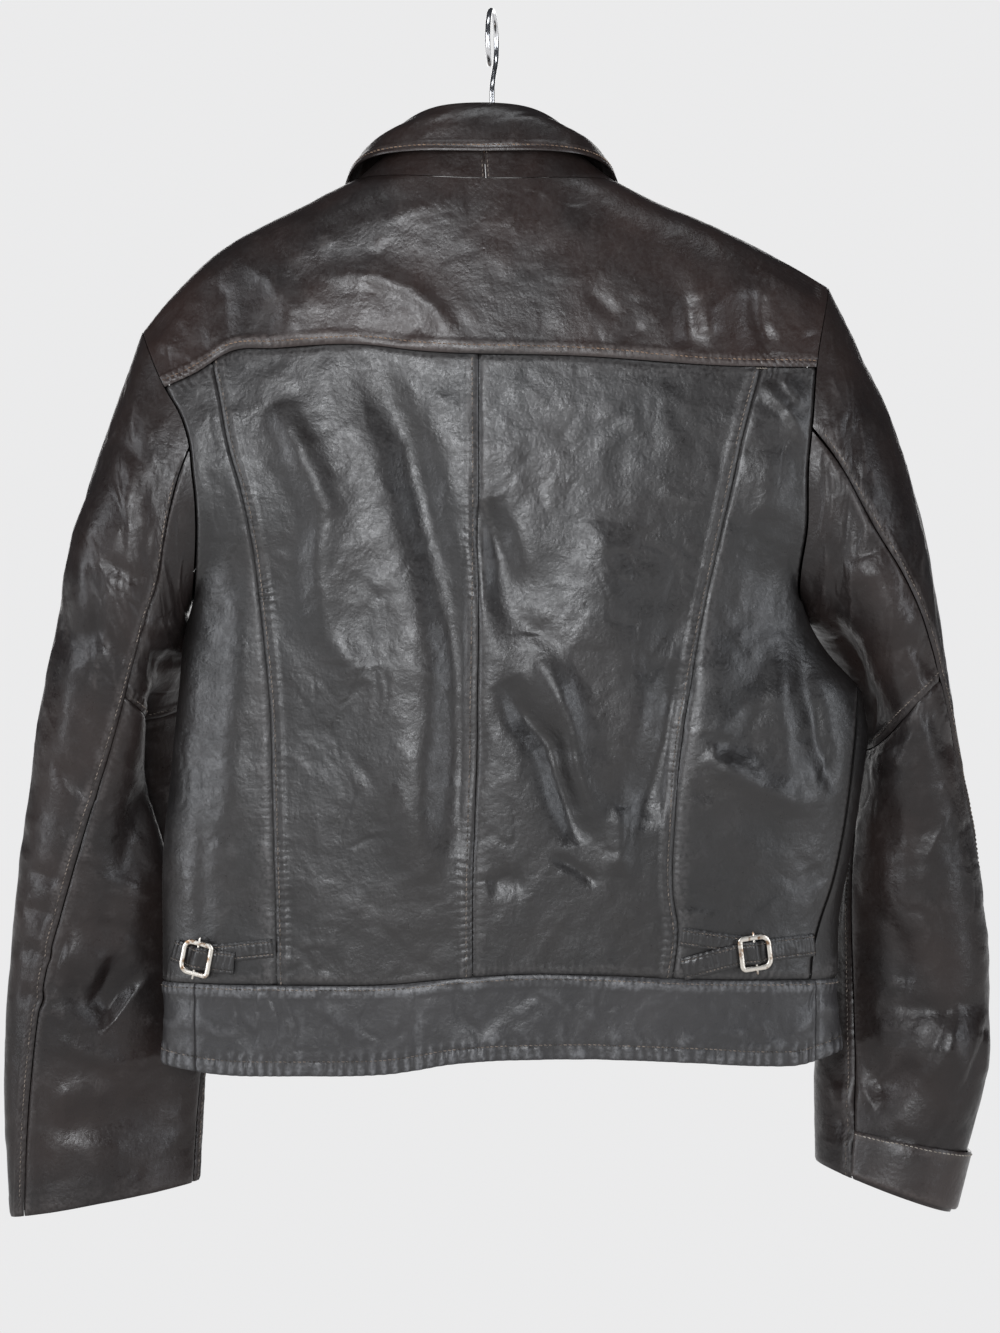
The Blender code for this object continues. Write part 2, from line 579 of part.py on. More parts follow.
def ring(rows, degrees, middle):
    """A collar ring's points, by degrees from the centre back. The two sides mirror each other."""
    turn = np.abs(degrees)
    before = rows[1]
    mirrored = [(-before[0], -before[1], before[2], before[3]), *rows]
    width, y, z = (smooth([(row[0], row[k]) for row in mirrored], turn) for k in (1, 2, 3))
    return np.stack([middle + np.sign(degrees) * width, y, z], -1)


def neckline(degrees):
    """The neckline's outer points, behind and in front."""
    left, right = SHOULDER[LEFT][-1][1], SHOULDER[RIGHT][-1][1]
    behind = np.abs(degrees) <= 90
    share = np.abs(np.sin(np.radians(degrees)))
    x = FRONT_MIDDLE + np.where(degrees < 0, left - FRONT_MIDDLE, right - FRONT_MIDDLE) * share
    back = torso_at(x, smooth(NECK_BACK, x), BACK)
    front = torso_at(x, front_neck(x), FRONT)
    return np.where(behind[..., None], back, front)


def collar_frame(degrees):
    """Outwards and upwards at the roll line, both square to it."""
    e = 0.5
    way = ring(ROLL, degrees + e, COLLAR_MIDDLE) - ring(ROLL, degrees - e, COLLAR_MIDDLE)
    way = way / np.linalg.norm(way, axis=-1, keepdims=True)
    up = np.array([0, 0, 1.0]) - way * way[..., 2:]
    up = up / np.linalg.norm(up, axis=-1, keepdims=True)
    return np.cross(way, up), up


def stand_surface(turns):
    """The collar stand, from the neckline up to its seam under the roll. turns gives degrees by share."""

    def surface(u, v):
        turn = np.interp(u, np.linspace(0, 1, len(turns)), turns)
        out, up = collar_frame(turn)
        top = ring(ROLL, turn, COLLAR_MIDDLE) - out * (LEG + 0.1) - up * (STAND_DROP + SEAM)
        low = neckline(turn)
        rise = top - low
        gap = between(NECK_GAP[0], NECK_GAP[1], np.clip((abs(turn) - 80) / 20, 0, 1))[..., None]
        low = low + rise / np.linalg.norm(rise, axis=-1, keepdims=True) * gap
        return between(low, top, v[..., None])

    return surface


def fall_surface(u, v):
    """The collar fall: up a short inner leg, over the roll, and down to the free edge."""
    turn = between(-COLLAR_END, COLLAR_END, u)
    roll, edge = ring(ROLL, turn, COLLAR_MIDDLE), ring(EDGE, turn, COLLAR_MIDDLE)
    out, up = collar_frame(turn)
    crown = between(roll, edge, 0.5) + out * 3.5 + up * 3
    keys = [roll - out * LEG - up * STAND_DROP, roll - out * 1.2 - up * 2, roll, roll + out * 3.2 - up * 2.2,
            crown, edge]
    places = (0, 0.14, 0.26, 0.38, 0.7, 1)
    return np.stack([blend_keys(places, [k[..., axis] for k in keys], v) for axis in range(3)], -1)


def blend_keys(places, values, at):
    """A smooth curve through arrays of values at the given places, evaluated point by point."""
    values, places = np.stack(values), np.array(places, float)
    slope = np.gradient(values, places, axis=0)
    i = np.clip(np.searchsorted(places, at) - 1, 0, len(places) - 2)
    step = places[i + 1] - places[i]
    t = (at - places[i]) / step
    low, high = (np.take_along_axis(values, (i + k)[None], 0)[0] for k in (0, 1))
    slope_low, slope_high = (np.take_along_axis(slope, (i + k)[None], 0)[0] for k in (0, 1))
    return ((2 * t**3 - 3 * t**2 + 1) * low + (t**3 - 2 * t**2 + t) * step * slope_low
            + (3 * t**2 - 2 * t**3) * high + (t**3 - t**2) * step * slope_high)


def back_frame(x, z):
    """The back's outer point and its outward normal."""
    e = 0.05
    p = torso_at(x, z, BACK)
    across = torso_at(x + e, z, BACK) - torso_at(x - e, z, BACK)
    n = np.cross(across, torso_at(x, z + e, BACK) - torso_at(x, z - e, BACK))
    n = n / np.linalg.norm(n, axis=-1, keepdims=True)
    return p, n * np.where(n[..., 1:2] > 0, -1, 1)


def strap(name, route, width, lift, shares, finish):
    """A flat strap along a route on the back, cut at shares of it and raised by lift(x) above the panel."""
    u, v = np.meshgrid(shares, np.linspace(0, 1, 3), indexing="ij")
    x, z = path(route, u)
    e = 0.01
    x1, z1 = path(route, np.clip(u + e, 0, 1))
    x0, z0 = path(route, np.clip(u - e, 0, 1))
    along = np.stack([x1 - x0, z1 - z0], -1)
    along /= np.linalg.norm(along, axis=-1, keepdims=True)
    aside = (v - 0.5) * width
    raised = lift(x)[..., None]
    points, n = back_frame(x - along[..., 1] * aside, z + along[..., 0] * aside)
    return wall(name, points + n * (raised + STRAP_WALL), points + n * raised, finish)


def path(points, share):
    """A place along a polyline of (x, z) points, by share of its length."""
    p = np.array(points, float)
    along = np.concatenate([[0], np.cumsum(np.linalg.norm(np.diff(p, axis=0), axis=1))])
    at = share * along[-1]
    return np.interp(at, along, p[:, 0]), np.interp(at, along, p[:, 1])


def strap_lift(side):
    """Strap height above the panel: over the anchor, higher over the pin, and down on the panel past both."""
    pin = STRAPS[side]["pin"]
    out = 1 if side == RIGHT else -1
    low, over_anchor, over_pin = 0.3, 2.0, BUCKLE_HEIGHT + BUCKLE_THICK / 2 + PIN_RADIUS + 0.4

    def lift(x):
        away = (x - pin) * out
        near = np.clip((24 - away) / 12, 0, 1) * np.clip((away + 46) / 12, 0, 1)
        return low + (over_anchor - low) * near + (over_pin - over_anchor) * np.exp(-((away / 4.4) ** 2))

    return lift


def strap_shares(side):
    """Where a strap is cut along its length: evenly, and closer together over the pin."""
    route = STRAPS[side]["strap"]
    share = np.linspace(0, 1, 400)
    at = share[np.argmin(abs(path(route, share)[0] - STRAPS[side]["pin"]))]
    length = sum(math.dist(a, b) for a, b in zip(route[:-1], route[1:]))
    near = at + np.array([-11, -8, -6.2, -4.4, -2.9, -1.5, 0, 1.5, 2.9, 4.4, 6.2, 8, 11]) / length
    far = [q for q in np.linspace(0, 1, 9) if abs(q - at) > 15 / length]
    return np.array(sorted([*near, *far]))


def rounded_frame(length, width, bar, thick, rounds, steps):
    """A flat ring: a chamfered bar carried round a rectangle whose corners have the radii in rounds."""
    x, y = (length - bar) / 2, (width - bar) / 2
    centres = []
    for (sx, sy), radius, start in zip(((1, 1), (-1, 1), (-1, -1), (1, -1)), rounds, (0, 90, 180, 270)):
        for k in range(steps + 1):
            turn = math.radians(start + 90 * k / steps)
            way = np.array([math.cos(turn), math.sin(turn)])
            centres.append((np.array([sx * (x - radius), sy * (y - radius)]) + way * radius, way))
    side, face = bar / 2, thick / 2
    flat, high = side - BUCKLE_CHAMFER, face - BUCKLE_CHAMFER
    profile = [(side, high), (flat, face), (-flat, face), (-side, high),
               (-side, -high), (-flat, -face), (flat, -face), (side, -high)]
    points = [(*(centre + way * p), q) for centre, way in centres for p, q in profile]
    n, m = len(centres), len(profile)
    faces = [(i * m + j, (i + 1) % n * m + j, (i + 1) % n * m + (j + 1) % m, i * m + (j + 1) % m)
             for i in range(n) for j in range(m)]
    return np.array(points), faces


def buckle(name, side, finish):
    """A slide buckle: a flat frame with its pin riveted through the middle."""
    made = STRAPS[side]
    share = np.linspace(0, 1, 200)
    x, z = path(made["strap"], share)
    k = int(np.argmin(abs(x - made["pin"])))
    p, n = back_frame(x[k:k + 1], z[k:k + 1])
    ahead, behind = (torso_at(x[i:i + 1], z[i:i + 1], BACK)[0] for i in (k + 2, k - 2))
    along = ahead - behind
    n = n[0]
    along -= n * (along @ n)
    along /= np.linalg.norm(along)
    if along[0] < 0:
        along = -along
    across = np.cross(n, along)
    place = p[0] + n * (BUCKLE_HEIGHT + BUCKLE_THICK / 2)
    tight, wide = 2.3, 5.2
    rounds = (wide, tight, tight, wide) if side == RIGHT else (tight, wide, wide, tight)
    points, faces = rounded_frame(BUCKLE_LENGTH, BUCKLE_WIDTH, BUCKLE_BAR, BUCKLE_THICK, rounds, 4)
    axes = np.stack([along, across, n])
    frame = add_mesh(name, points @ axes + place, faces, finish)
    pin = bmesh.new()
    bmesh.ops.create_cone(pin, cap_ends=True, segments=10, radius1=PIN_RADIUS, radius2=PIN_RADIUS,
                          depth=BUCKLE_WIDTH + 2 * PIN_REACH)
    corners = np.array([v.co for v in pin.verts])
    turned = np.stack([along, n, across])
    for vertex, corner in zip(pin.verts, corners @ turned + place):
        vertex.co = corner * MM
    mesh = bpy.data.meshes.new(name + "_pin")
    bmesh.ops.recalc_face_normals(pin, faces=pin.faces)
    pin.to_mesh(mesh)
    pin.free()
    joined = bpy.data.objects.new(name + "_pin", mesh)
    CUTTERS.objects.link(joined)
    joined.hide_render = True
    joined.display_type = "WIRE"
    union = frame.modifiers.new("pin", "BOOLEAN")
    union.operation = "UNION"
    union.object = joined
    return frame


def wire(name, points, radius, sides, finish):
    """A round bar through points in millimetres."""
    curve = bpy.data.curves.new(name, "CURVE")
    curve.dimensions = "3D"
    curve.bevel_depth = radius * MM
    curve.bevel_resolution = sides
    curve.use_fill_caps = True
    line = curve.splines.new("POLY")
    line.points.add(len(points) - 1)
    for point, place in zip(line.points, points):
        point.co = (*(np.array(place, float) * MM), 1)
    made = bpy.data.objects.new(name, curve)
    made.data.materials.append(finish)
    PARTS.objects.link(made)
    return made


def hook_points():
    """The hook's middle line: round from its tip over the rod, then back in to an upright stem."""
    radius = HOOK_RADIUS + WIRE_RADIUS
    flat = [(radius * math.cos(math.radians(a)), radius * math.sin(math.radians(a)) - HOOK_RADIUS)
            for a in np.linspace(HOOK_TIP, HOOK_BACK, 26)]
    start = np.array(flat[-1])
    way = np.array([math.sin(math.radians(HOOK_BACK)), -math.cos(math.radians(HOOK_BACK))])
    foot = np.array([0, STEM_TOP])
    for t in np.linspace(0, 1, 8)[1:]:
        flat.append(tuple((1 - t) ** 3 * start + 3 * (1 - t) ** 2 * t * (start + way * 9)
                          + 3 * (1 - t) * t**2 * (foot + np.array([0, 9])) + t**3 * foot))
    flat.append((0, STEM_FOOT))
    turn = math.radians(HOOK_TURN)
    return [(h * math.cos(turn), h * math.sin(turn), z) for h, z in flat]


def jacket():
    leather = material("leather", (0.026, 0.022, 0.021), 0.42)
    worn = material("worn_leather", (0.034, 0.030, 0.029), 0.5)
    nickel = material("nickel", (0.62, 0.58, 0.52), 0.3, 1.0)
    horn = material("horn", (0.02, 0.017, 0.015), 0.35)

    torso_panel("back_yoke", yoke_surface, sum(BACK_STEPS) + 1, 9, leather)
    for k, name in enumerate(("side_left", "back_left", "back_right", "side_right")):
        torso_panel(name, back_surface(k), BACK_STEPS[k] + 1, LOW_STEPS + HIGH_STEPS + 1, leather)
    for side in (LEFT, RIGHT):
        torso_panel(f"front_{side}", front_surface(side), 14, LOW_STEPS + FRONT_STEPS + 1, leather)

    half = SEAM / 2
    seam_left = lambda shift: (lambda z: turn_at(BAND_SEAM[LEFT] + shift + 0 * z, z, BACK))
    seam_right = lambda shift: (lambda z: turn_at(BAND_SEAM[RIGHT] + shift + 0 * z, z, BACK))
    band = band_surface(seam_left(half), seam_right(-half))
    torso_panel("band_back", band, 27, 3, worn)
    band = band_surface(seam_right(half), front_edge_turn(RIGHT), RIGHT)
    torso_panel("band_right", band, 15, 3, worn)
    band = band_surface(lambda z: 2 + seam_left(-half)(z), front_edge_turn(LEFT))
    torso_panel("band_left", band, 15, 3, worn)

    turns = np.linspace(-COLLAR_END, COLLAR_END, COLLAR_STEPS + 1)
    middle = COLLAR_STEPS // 2
    halves = (LEFT, turns[:middle + 1], -1, -STAND_GAP), (RIGHT, turns[middle:], 0, STAND_GAP)
    for side, kept, end, seam in halves:
        kept = kept.copy()
        kept[end] = seam
        u, v = grid(len(kept), 3)
        outer, n = out_of(stand_surface(kept), u, v, from_axis)
        wall(f"collar_stand_{side}", outer, outer - n * WALL, leather)
    u, v = grid(COLLAR_STEPS + 1, 9)
    outer, n = fall_surface(u, v), normals(fall_surface, u, v)
    n *= np.sign((n[:, -1] * collar_frame(between(-COLLAR_END, COLLAR_END, u[:, -1]))[0]).sum())
    wall("collar_fall", outer, outer - n * WALL, leather)

    for side in (LEFT, RIGHT):
        back, front = BACK_SEAM[side], FRONT_SEAM[side]
        behind, before = PIECING[side]
        knee = UPPER_STEPS / (UPPER_STEPS + LOWER_STEPS)
        top = lambda u, v: (between(before, behind, u) * np.clip(v / knee, 0, 1)
                            + (1 - between(before, behind, u)) * np.clip((v - knee) / (1 - knee), 0, 1))
        upper = lambda u, v: (between(behind, before, u) - PIECE_GAP) * v
        lower = lambda u, v: between(between(behind, before, u) + PIECE_GAP, 1, v)
        under = (seam_degrees(back, 1), seam_degrees(front, -1))
        over = (seam_degrees(front, 1), seam_degrees(back, -1, 360))
        name = f"sleeve_{side}"
        sleeve_panel(f"{name}_top", side, *over, top, TOP_COLUMNS, UPPER_STEPS + LOWER_STEPS + 1, leather)
        sleeve_panel(f"{name}_under_upper", side, *under, upper, UNDER_COLUMNS, UPPER_STEPS + 1, leather)
        sleeve_panel(f"{name}_under_lower", side, *under, lower, UNDER_COLUMNS, LOWER_STEPS + 1, leather)

    shape, back, front = sleeve_surface(RIGHT), BACK_SEAM[RIGHT][-1], FRONT_SEAM[RIGHT][-1]
    over = np.linspace(front, back + 360, TOP_COLUMNS)[-4:-1] - 360
    turns = np.concatenate([over, np.linspace(back, front - 2 * SLEEVE_GAP, UNDER_COLUMNS)])
    u, v = np.meshgrid(np.linspace(0, 1, len(turns)), np.linspace(0, 1, 2), indexing="ij")
    places = np.linspace(0, 1, len(turns))
    cuff = lambda u, v: shape(between(TURNUP["start"], TURNUP["end"], v), np.interp(u, places, turns))
    outer, n = out_of(cuff, u, v, lambda p: p - np.array(TURNUP["middle"]))
    low, high = TURNUP["gap"], TURNUP["gap"] + TURNUP["wall"]
    wall("cuff_right_turnup", outer + n * high, outer + n * low, leather)

    for side in (LEFT, RIGHT):
        made = STRAPS[side]
        shares, lift = strap_shares(side), strap_lift(side)
        strap(f"strap_{side}", made["strap"], made["strap_width"], lift, shares, leather)
        shares, lift = np.linspace(0, 1, 7), lambda x: SEAM + 0 * x
        strap(f"anchor_{side}", made["anchor"], made["anchor_width"], lift, shares, leather)
        buckle(f"buckle_{side}", side, nickel)

    for k, z in enumerate(np.linspace(*BUTTON_HEIGHTS, BUTTONS)):
        p = torso_at(np.array([float(FRONT_MIDDLE)]), np.array([z]), FRONT)[0]
        place = p + np.array([0, BUTTON_GAP + BUTTON_HEIGHT / 2, 0])
        bpy.ops.mesh.primitive_cylinder_add(vertices=20, radius=BUTTON_RADIUS * MM, depth=BUTTON_HEIGHT * MM,
                                            location=place * MM, rotation=(math.pi / 2, 0, 0))
        made = bpy.context.object
        made.name = f"button_{k + 1}"
        bpy.context.collection.objects.unlink(made)
        PARTS.objects.link(made)
        made.data.materials.append(horn)
        bevel = made.modifiers.new("edge", "BEVEL")
        bevel.width = 0.8 * MM
        bevel.segments = 1

    wood = material("hanger_wood", (0.3, 0.19, 0.1), 0.5)
    chrome = material("chrome", (0.75, 0.75, 0.76), 0.12, 1.0)
    wire("hanger_body", [(x, 0, z) for x, z in ARM_ROUTE], ARM_RADIUS, 2, wood)
    wire("hanger_hook", hook_points(), WIRE_RADIUS, 1, chrome)


jacket()
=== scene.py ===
"""The looks of a worn leather jacket on its hanger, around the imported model.

Sizes are in millimetres until a mesh is made. +Z is up, the jacket's back faces -Y and +X is the wearer's right.
"""
import math

import bpy
import numpy as np
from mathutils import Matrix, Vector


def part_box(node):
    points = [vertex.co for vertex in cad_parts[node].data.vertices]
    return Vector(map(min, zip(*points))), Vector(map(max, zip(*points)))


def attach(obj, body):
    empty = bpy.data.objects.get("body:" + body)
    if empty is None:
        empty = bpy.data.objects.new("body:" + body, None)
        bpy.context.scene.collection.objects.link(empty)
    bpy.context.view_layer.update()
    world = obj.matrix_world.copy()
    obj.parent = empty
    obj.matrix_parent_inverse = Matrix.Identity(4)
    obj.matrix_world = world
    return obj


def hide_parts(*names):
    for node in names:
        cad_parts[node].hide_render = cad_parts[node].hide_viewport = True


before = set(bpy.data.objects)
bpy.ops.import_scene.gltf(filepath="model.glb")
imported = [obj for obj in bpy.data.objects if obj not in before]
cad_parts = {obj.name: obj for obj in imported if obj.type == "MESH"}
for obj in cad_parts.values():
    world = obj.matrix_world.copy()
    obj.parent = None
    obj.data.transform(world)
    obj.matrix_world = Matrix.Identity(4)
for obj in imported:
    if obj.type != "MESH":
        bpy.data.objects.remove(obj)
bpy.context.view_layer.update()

# ---------------------------------------------------------------------------------------------------------------
# Camera, light and floor. The camera stands level, 2.25 m behind the jacket, as in the photograph. Five large
# soft lights stand round it, and the floor fades into the pale background.
CAMERA_FAR, CAMERA_X, CAMERA_Z = 2.25, 0.0054, -0.444
VIEW_HEIGHT = 0.9064
PALE = (0.83, 0.83, 0.835, 1)
FLOOR_Z = -1.0
FADE_NEAR, FADE_FAR = 1.0, 1.12  # where the floor starts to fade, and where it has become the background

camera = bpy.data.objects.new("camera", bpy.data.cameras.new("camera"))
camera.data.sensor_fit = "VERTICAL"
camera.data.angle = 2 * math.atan(VIEW_HEIGHT / 2 / CAMERA_FAR)
camera.location = (CAMERA_X, -CAMERA_FAR, CAMERA_Z)
camera.rotation_euler = (math.pi / 2, 0, 0)
bpy.context.scene.collection.objects.link(camera)
bpy.context.scene.camera = camera
bpy.context.scene.view_settings.view_transform = "Standard"

for name, place, aim, size, power, tint in (
        ("key", (-0.35, -2.15, -0.08), (0.0, 0.0, -0.42), (0.8, 0.5), 25, (0.95, 0.97, 1)),
        ("left", (-1.9, -1.05, -0.1), (-0.1, 0.0, -0.5), (0.6, 1.5), 18, (0.92, 0.95, 1)),
        ("right", (1.7, -1.4, -0.2), (0.1, 0.0, -0.5), (0.5, 1.4), 13, (0.9, 0.94, 1)),
        ("top", (0.1, -0.6, 1.35), (0.0, 0.0, -0.3), (1.4, 0.5), 8, (0.94, 0.97, 1)),
        ("front", (0.0, 2.2, 0.1), (0.0, 0.0, -0.45), (2.2, 1.4), 22, (1, 0.99, 0.98))):
    lamp = bpy.data.objects.new(name, bpy.data.lights.new(name, "AREA"))
    lamp.data.shape = "RECTANGLE"
    lamp.data.size, lamp.data.size_y = size
    lamp.data.energy = power
    lamp.data.color = tint
    way = np.array(place) - np.array(aim)
    flat_way = math.hypot(way[0], way[1])
    lamp.location = place
    lamp.rotation_euler = (math.atan2(flat_way, way[2]), 0, math.atan2(way[1], way[0]) + math.pi / 2)
    bpy.context.scene.collection.objects.link(lamp)


def add_node(tree, kind, inputs=None, **settings):
    """A shader node with its settings. Each of its inputs is given a value, or linked from another node's output."""
    node = tree.nodes.new(kind)
    for key, value in settings.items():
        setattr(node, key, value)
    for key, value in (inputs or {}).items():
        if isinstance(value, bpy.types.NodeSocket):
            tree.links.new(value, node.inputs[key])
        else:
            node.inputs[key].default_value = value
    return node


world = bpy.data.worlds.new("pale_studio")
world.use_nodes = True
bpy.context.scene.world = world
sky = world.node_tree
sky.nodes.clear()
seen = add_node(sky, "ShaderNodeBackground", {"Color": PALE}).outputs[0]
lit = add_node(sky, "ShaderNodeBackground", {"Color": (0.82, 0.88, 1, 1), "Strength": 0.05}).outputs[0]
by_camera = add_node(sky, "ShaderNodeLightPath").outputs["Is Camera Ray"]
either = add_node(sky, "ShaderNodeMixShader", {0: by_camera, 1: lit, 2: seen}).outputs[0]
add_node(sky, "ShaderNodeOutputWorld", {"Surface": either})

corners = [(x, y, FLOOR_Z) for x, y in ((-30, -30), (30, -30), (30, 30), (-30, 30))]
floor_mesh = bpy.data.meshes.new("floor")
floor_mesh.from_pydata(corners, [], [(0, 1, 2, 3)])
floor = bpy.data.objects.new("floor", floor_mesh)
bpy.context.scene.collection.objects.link(floor)
pale = bpy.data.materials.new("pale_floor")
pale.use_nodes = True
tree = pale.node_tree
tree.nodes.clear()
matt = add_node(tree, "ShaderNodeBsdfDiffuse", {"Color": (0.8, 0.8, 0.8, 1)}).outputs[0]
glow = add_node(tree, "ShaderNodeEmission", {"Color": PALE}).outputs[0]
place = add_node(tree, "ShaderNodeTexCoord").outputs["Object"]
far = add_node(tree, "ShaderNodeVectorMath", {0: place}, operation="LENGTH").outputs["Value"]
fade = add_node(tree, "ShaderNodeMapRange", {"Value": far, "From Min": FADE_NEAR, "From Max": FADE_FAR},
                interpolation_type="SMOOTHSTEP").outputs[0]
blend = add_node(tree, "ShaderNodeMixShader", {0: fade, 1: matt, 2: glow}).outputs[0]
add_node(tree, "ShaderNodeOutputMaterial", {"Surface": blend})
floor_mesh.materials.append(pale)

# ---------------------------------------------------------------------------------------------------------------
# The back: four long panels of dark brown leather, sewn at the centre back and at two princess seams. Their seam
# allowances are turned to one side and stitched down, which raises a flat band beside each seam and puckers it.
MM = 0.001
WALL = 1.4  # thickness of the leather
STITCH_IN = 3.6  # a seam's stitches lie this far from it
FLAT_PUCKER, STITCHED_PUCKER = 0.12, 0.42  # height of the puckers beside a plain and a stitched seam
SEAM = 0.3  # gap between sewn pieces
BACK, FRONT = -1, 1
LEFT, RIGHT = "left", "right"
# Outlines and upright seams are (height, x) points, and the torso's half depth is by height too.
SHOULDER = {
    LEFT: [(-217, -237), (-198, -222), (-184, -209), (-157, -177), (-143, -151), (-130, -124), (-114, -92)],
    RIGHT: [(-187, 228), (-171, 201), (-157, 175), (-143, 145), (-130, 114), (-115, 83)],
}
SIDE = {
    LEFT: [(-719, -224), (-630, -224), (-574, -224), (-513, -218), (-461, -213), (-417, -208), (-400, -203),
           (-373, -199), (-333, -198), (-313, -200), (-295, -202), (-276, -208), (-257, -219), (-217, -237)],
    RIGHT: [(-709, 238), (-661, 235), (-603, 238), (-576, 243), (-535, 250), (-508, 254), (-491, 256),
            (-475, 254), (-460, 250), (-437, 230), (-418, 216), (-400, 209), (-347, 211), (-311, 211),
            (-278, 214), (-242, 217), (-187, 228)],
}
LEVEL = -400.0  # height of both armpits
ARM_DEPTH = 46  # half depth of an armhole
DEPTH = {
    BACK: [(-720, 47), (-640, 50), (-520, 55), (-400, 58), (-280, 58), (-200, 54), (-150, 48), (-112, 42)],
    FRONT: [(-720, 45), (-640, 48), (-520, 52), (-400, 55), (-280, 56), (-200, 53), (-150, 49), (-112, 45)],
}
ROUND = 0.8  # below 1 the torso's sides are squarer than an ellipse's
# Seams that run across are (x, height) points.
NECK_BACK = [(-92, -114), (-77, -114.5), (-13, -118), (66, -116), (83, -115)]
YOKE = [(-219, -257), (-197, -247), (-176, -234), (-145, -232), (-86, -230), (-52, -234), (60, -238),
        (162, -244), (214, -244), (218, -244)]
BAND = [(-224, -657), (-135, -657), (-68, -656), (-26, -652), (25, -649), (76, -650), (137, -653), (236, -655)]
PRINCESS = {
    LEFT: [(-657, -144), (-598, -145), (-520, -147), (-478, -148), (-410, -154), (-368, -159), (-327, -167),
           (-295, -176), (-263, -182), (-240, -187)],
    RIGHT: [(-655, 120), (-617, 124), (-598, 121), (-546, 122), (-512, 124), (-435, 136), (-376, 148),
            (-327, 159), (-290, 167), (-242, 180)],
}
CENTRE = [(-655, -13), (-598, -13), (-520, -11), (-400, -9), (-234, -9)]
SIDE_SEAM_RIGHT = [(-720, 219), (-624, 219), (-614, 222), (-591, 230), (-565, 236), (-534, 241), (-498, 245),
                   (-464, 248)]
LOW_STEPS, HIGH_STEPS, FRONT_STEPS = 15, 9, 12  # a panel's rows in the model, below and above the armpits
SIDE_GAP = 0.0008  # half a seam, as a share of the way round the torso
FRONT_BAND = [(-224, -657), (0, -657), (236, -655)]
# The soft folds of the back, then its creases: height, half width and route. Raised is positive.
SOFT_FOLDS = {
    BACK: [
        (-6, 13, [(-5, -334), (4, -368), (13, -398), (34, -422)]),
        (-7, 14, [(9, -453), (23, -478), (38, -496), (45, -520), (60, -562)]),
        (5, 14, [(32, -440), (52, -487), (62, -530), (66, -560)]),
        (-5, 16, [(-81, -246), (-56, -297), (-47, -334), (-36, -376), (-27, -418), (-24, -520), (-26, -570)]),
        (4, 20, [(-60, -400), (-62, -500), (-52, -600)]),
        (4, 18, [(-142, -270), (-122, -314), (-108, -347), (-112, -420)]),
        (-5, 14, [(124, -440), (114, -496), (100, -545)]),
        (-6, 13, [(204, -398), (188, -430), (160, -490)]),
        (-7, 12, [(209, -430), (212, -470), (220, -515)]),
        (6, 13, [(198, -440), (200, -500), (206, -545)]),
        (5, 14, [(142, -502), (175, -525), (205, -540)]),
        (4, 22, [(-172, -380), (-176, -480), (-174, -560)]),
        (4, 20, [(-150, -165), (-135, -195), (-122, -222)]),
        (-4, 14, [(-190, -185), (-182, -215), (-190, -240)]),
        (-5, 14, [(178, -187), (182, -217), (188, -238)]),
    ],
    FRONT: [
        (-5, 18, [(-150, -330), (-120, -420), (-110, -520)]),
        (5, 22, [(-80, -260), (-76, -400), (-84, -560)]),
        (-5, 18, [(140, -320), (116, -430), (112, -540)]),
        (5, 22, [(76, -260), (70, -420), (82, -600)]),
        (-5, 16, [(196, -410), (170, -470), (150, -540)]),
    ],
}
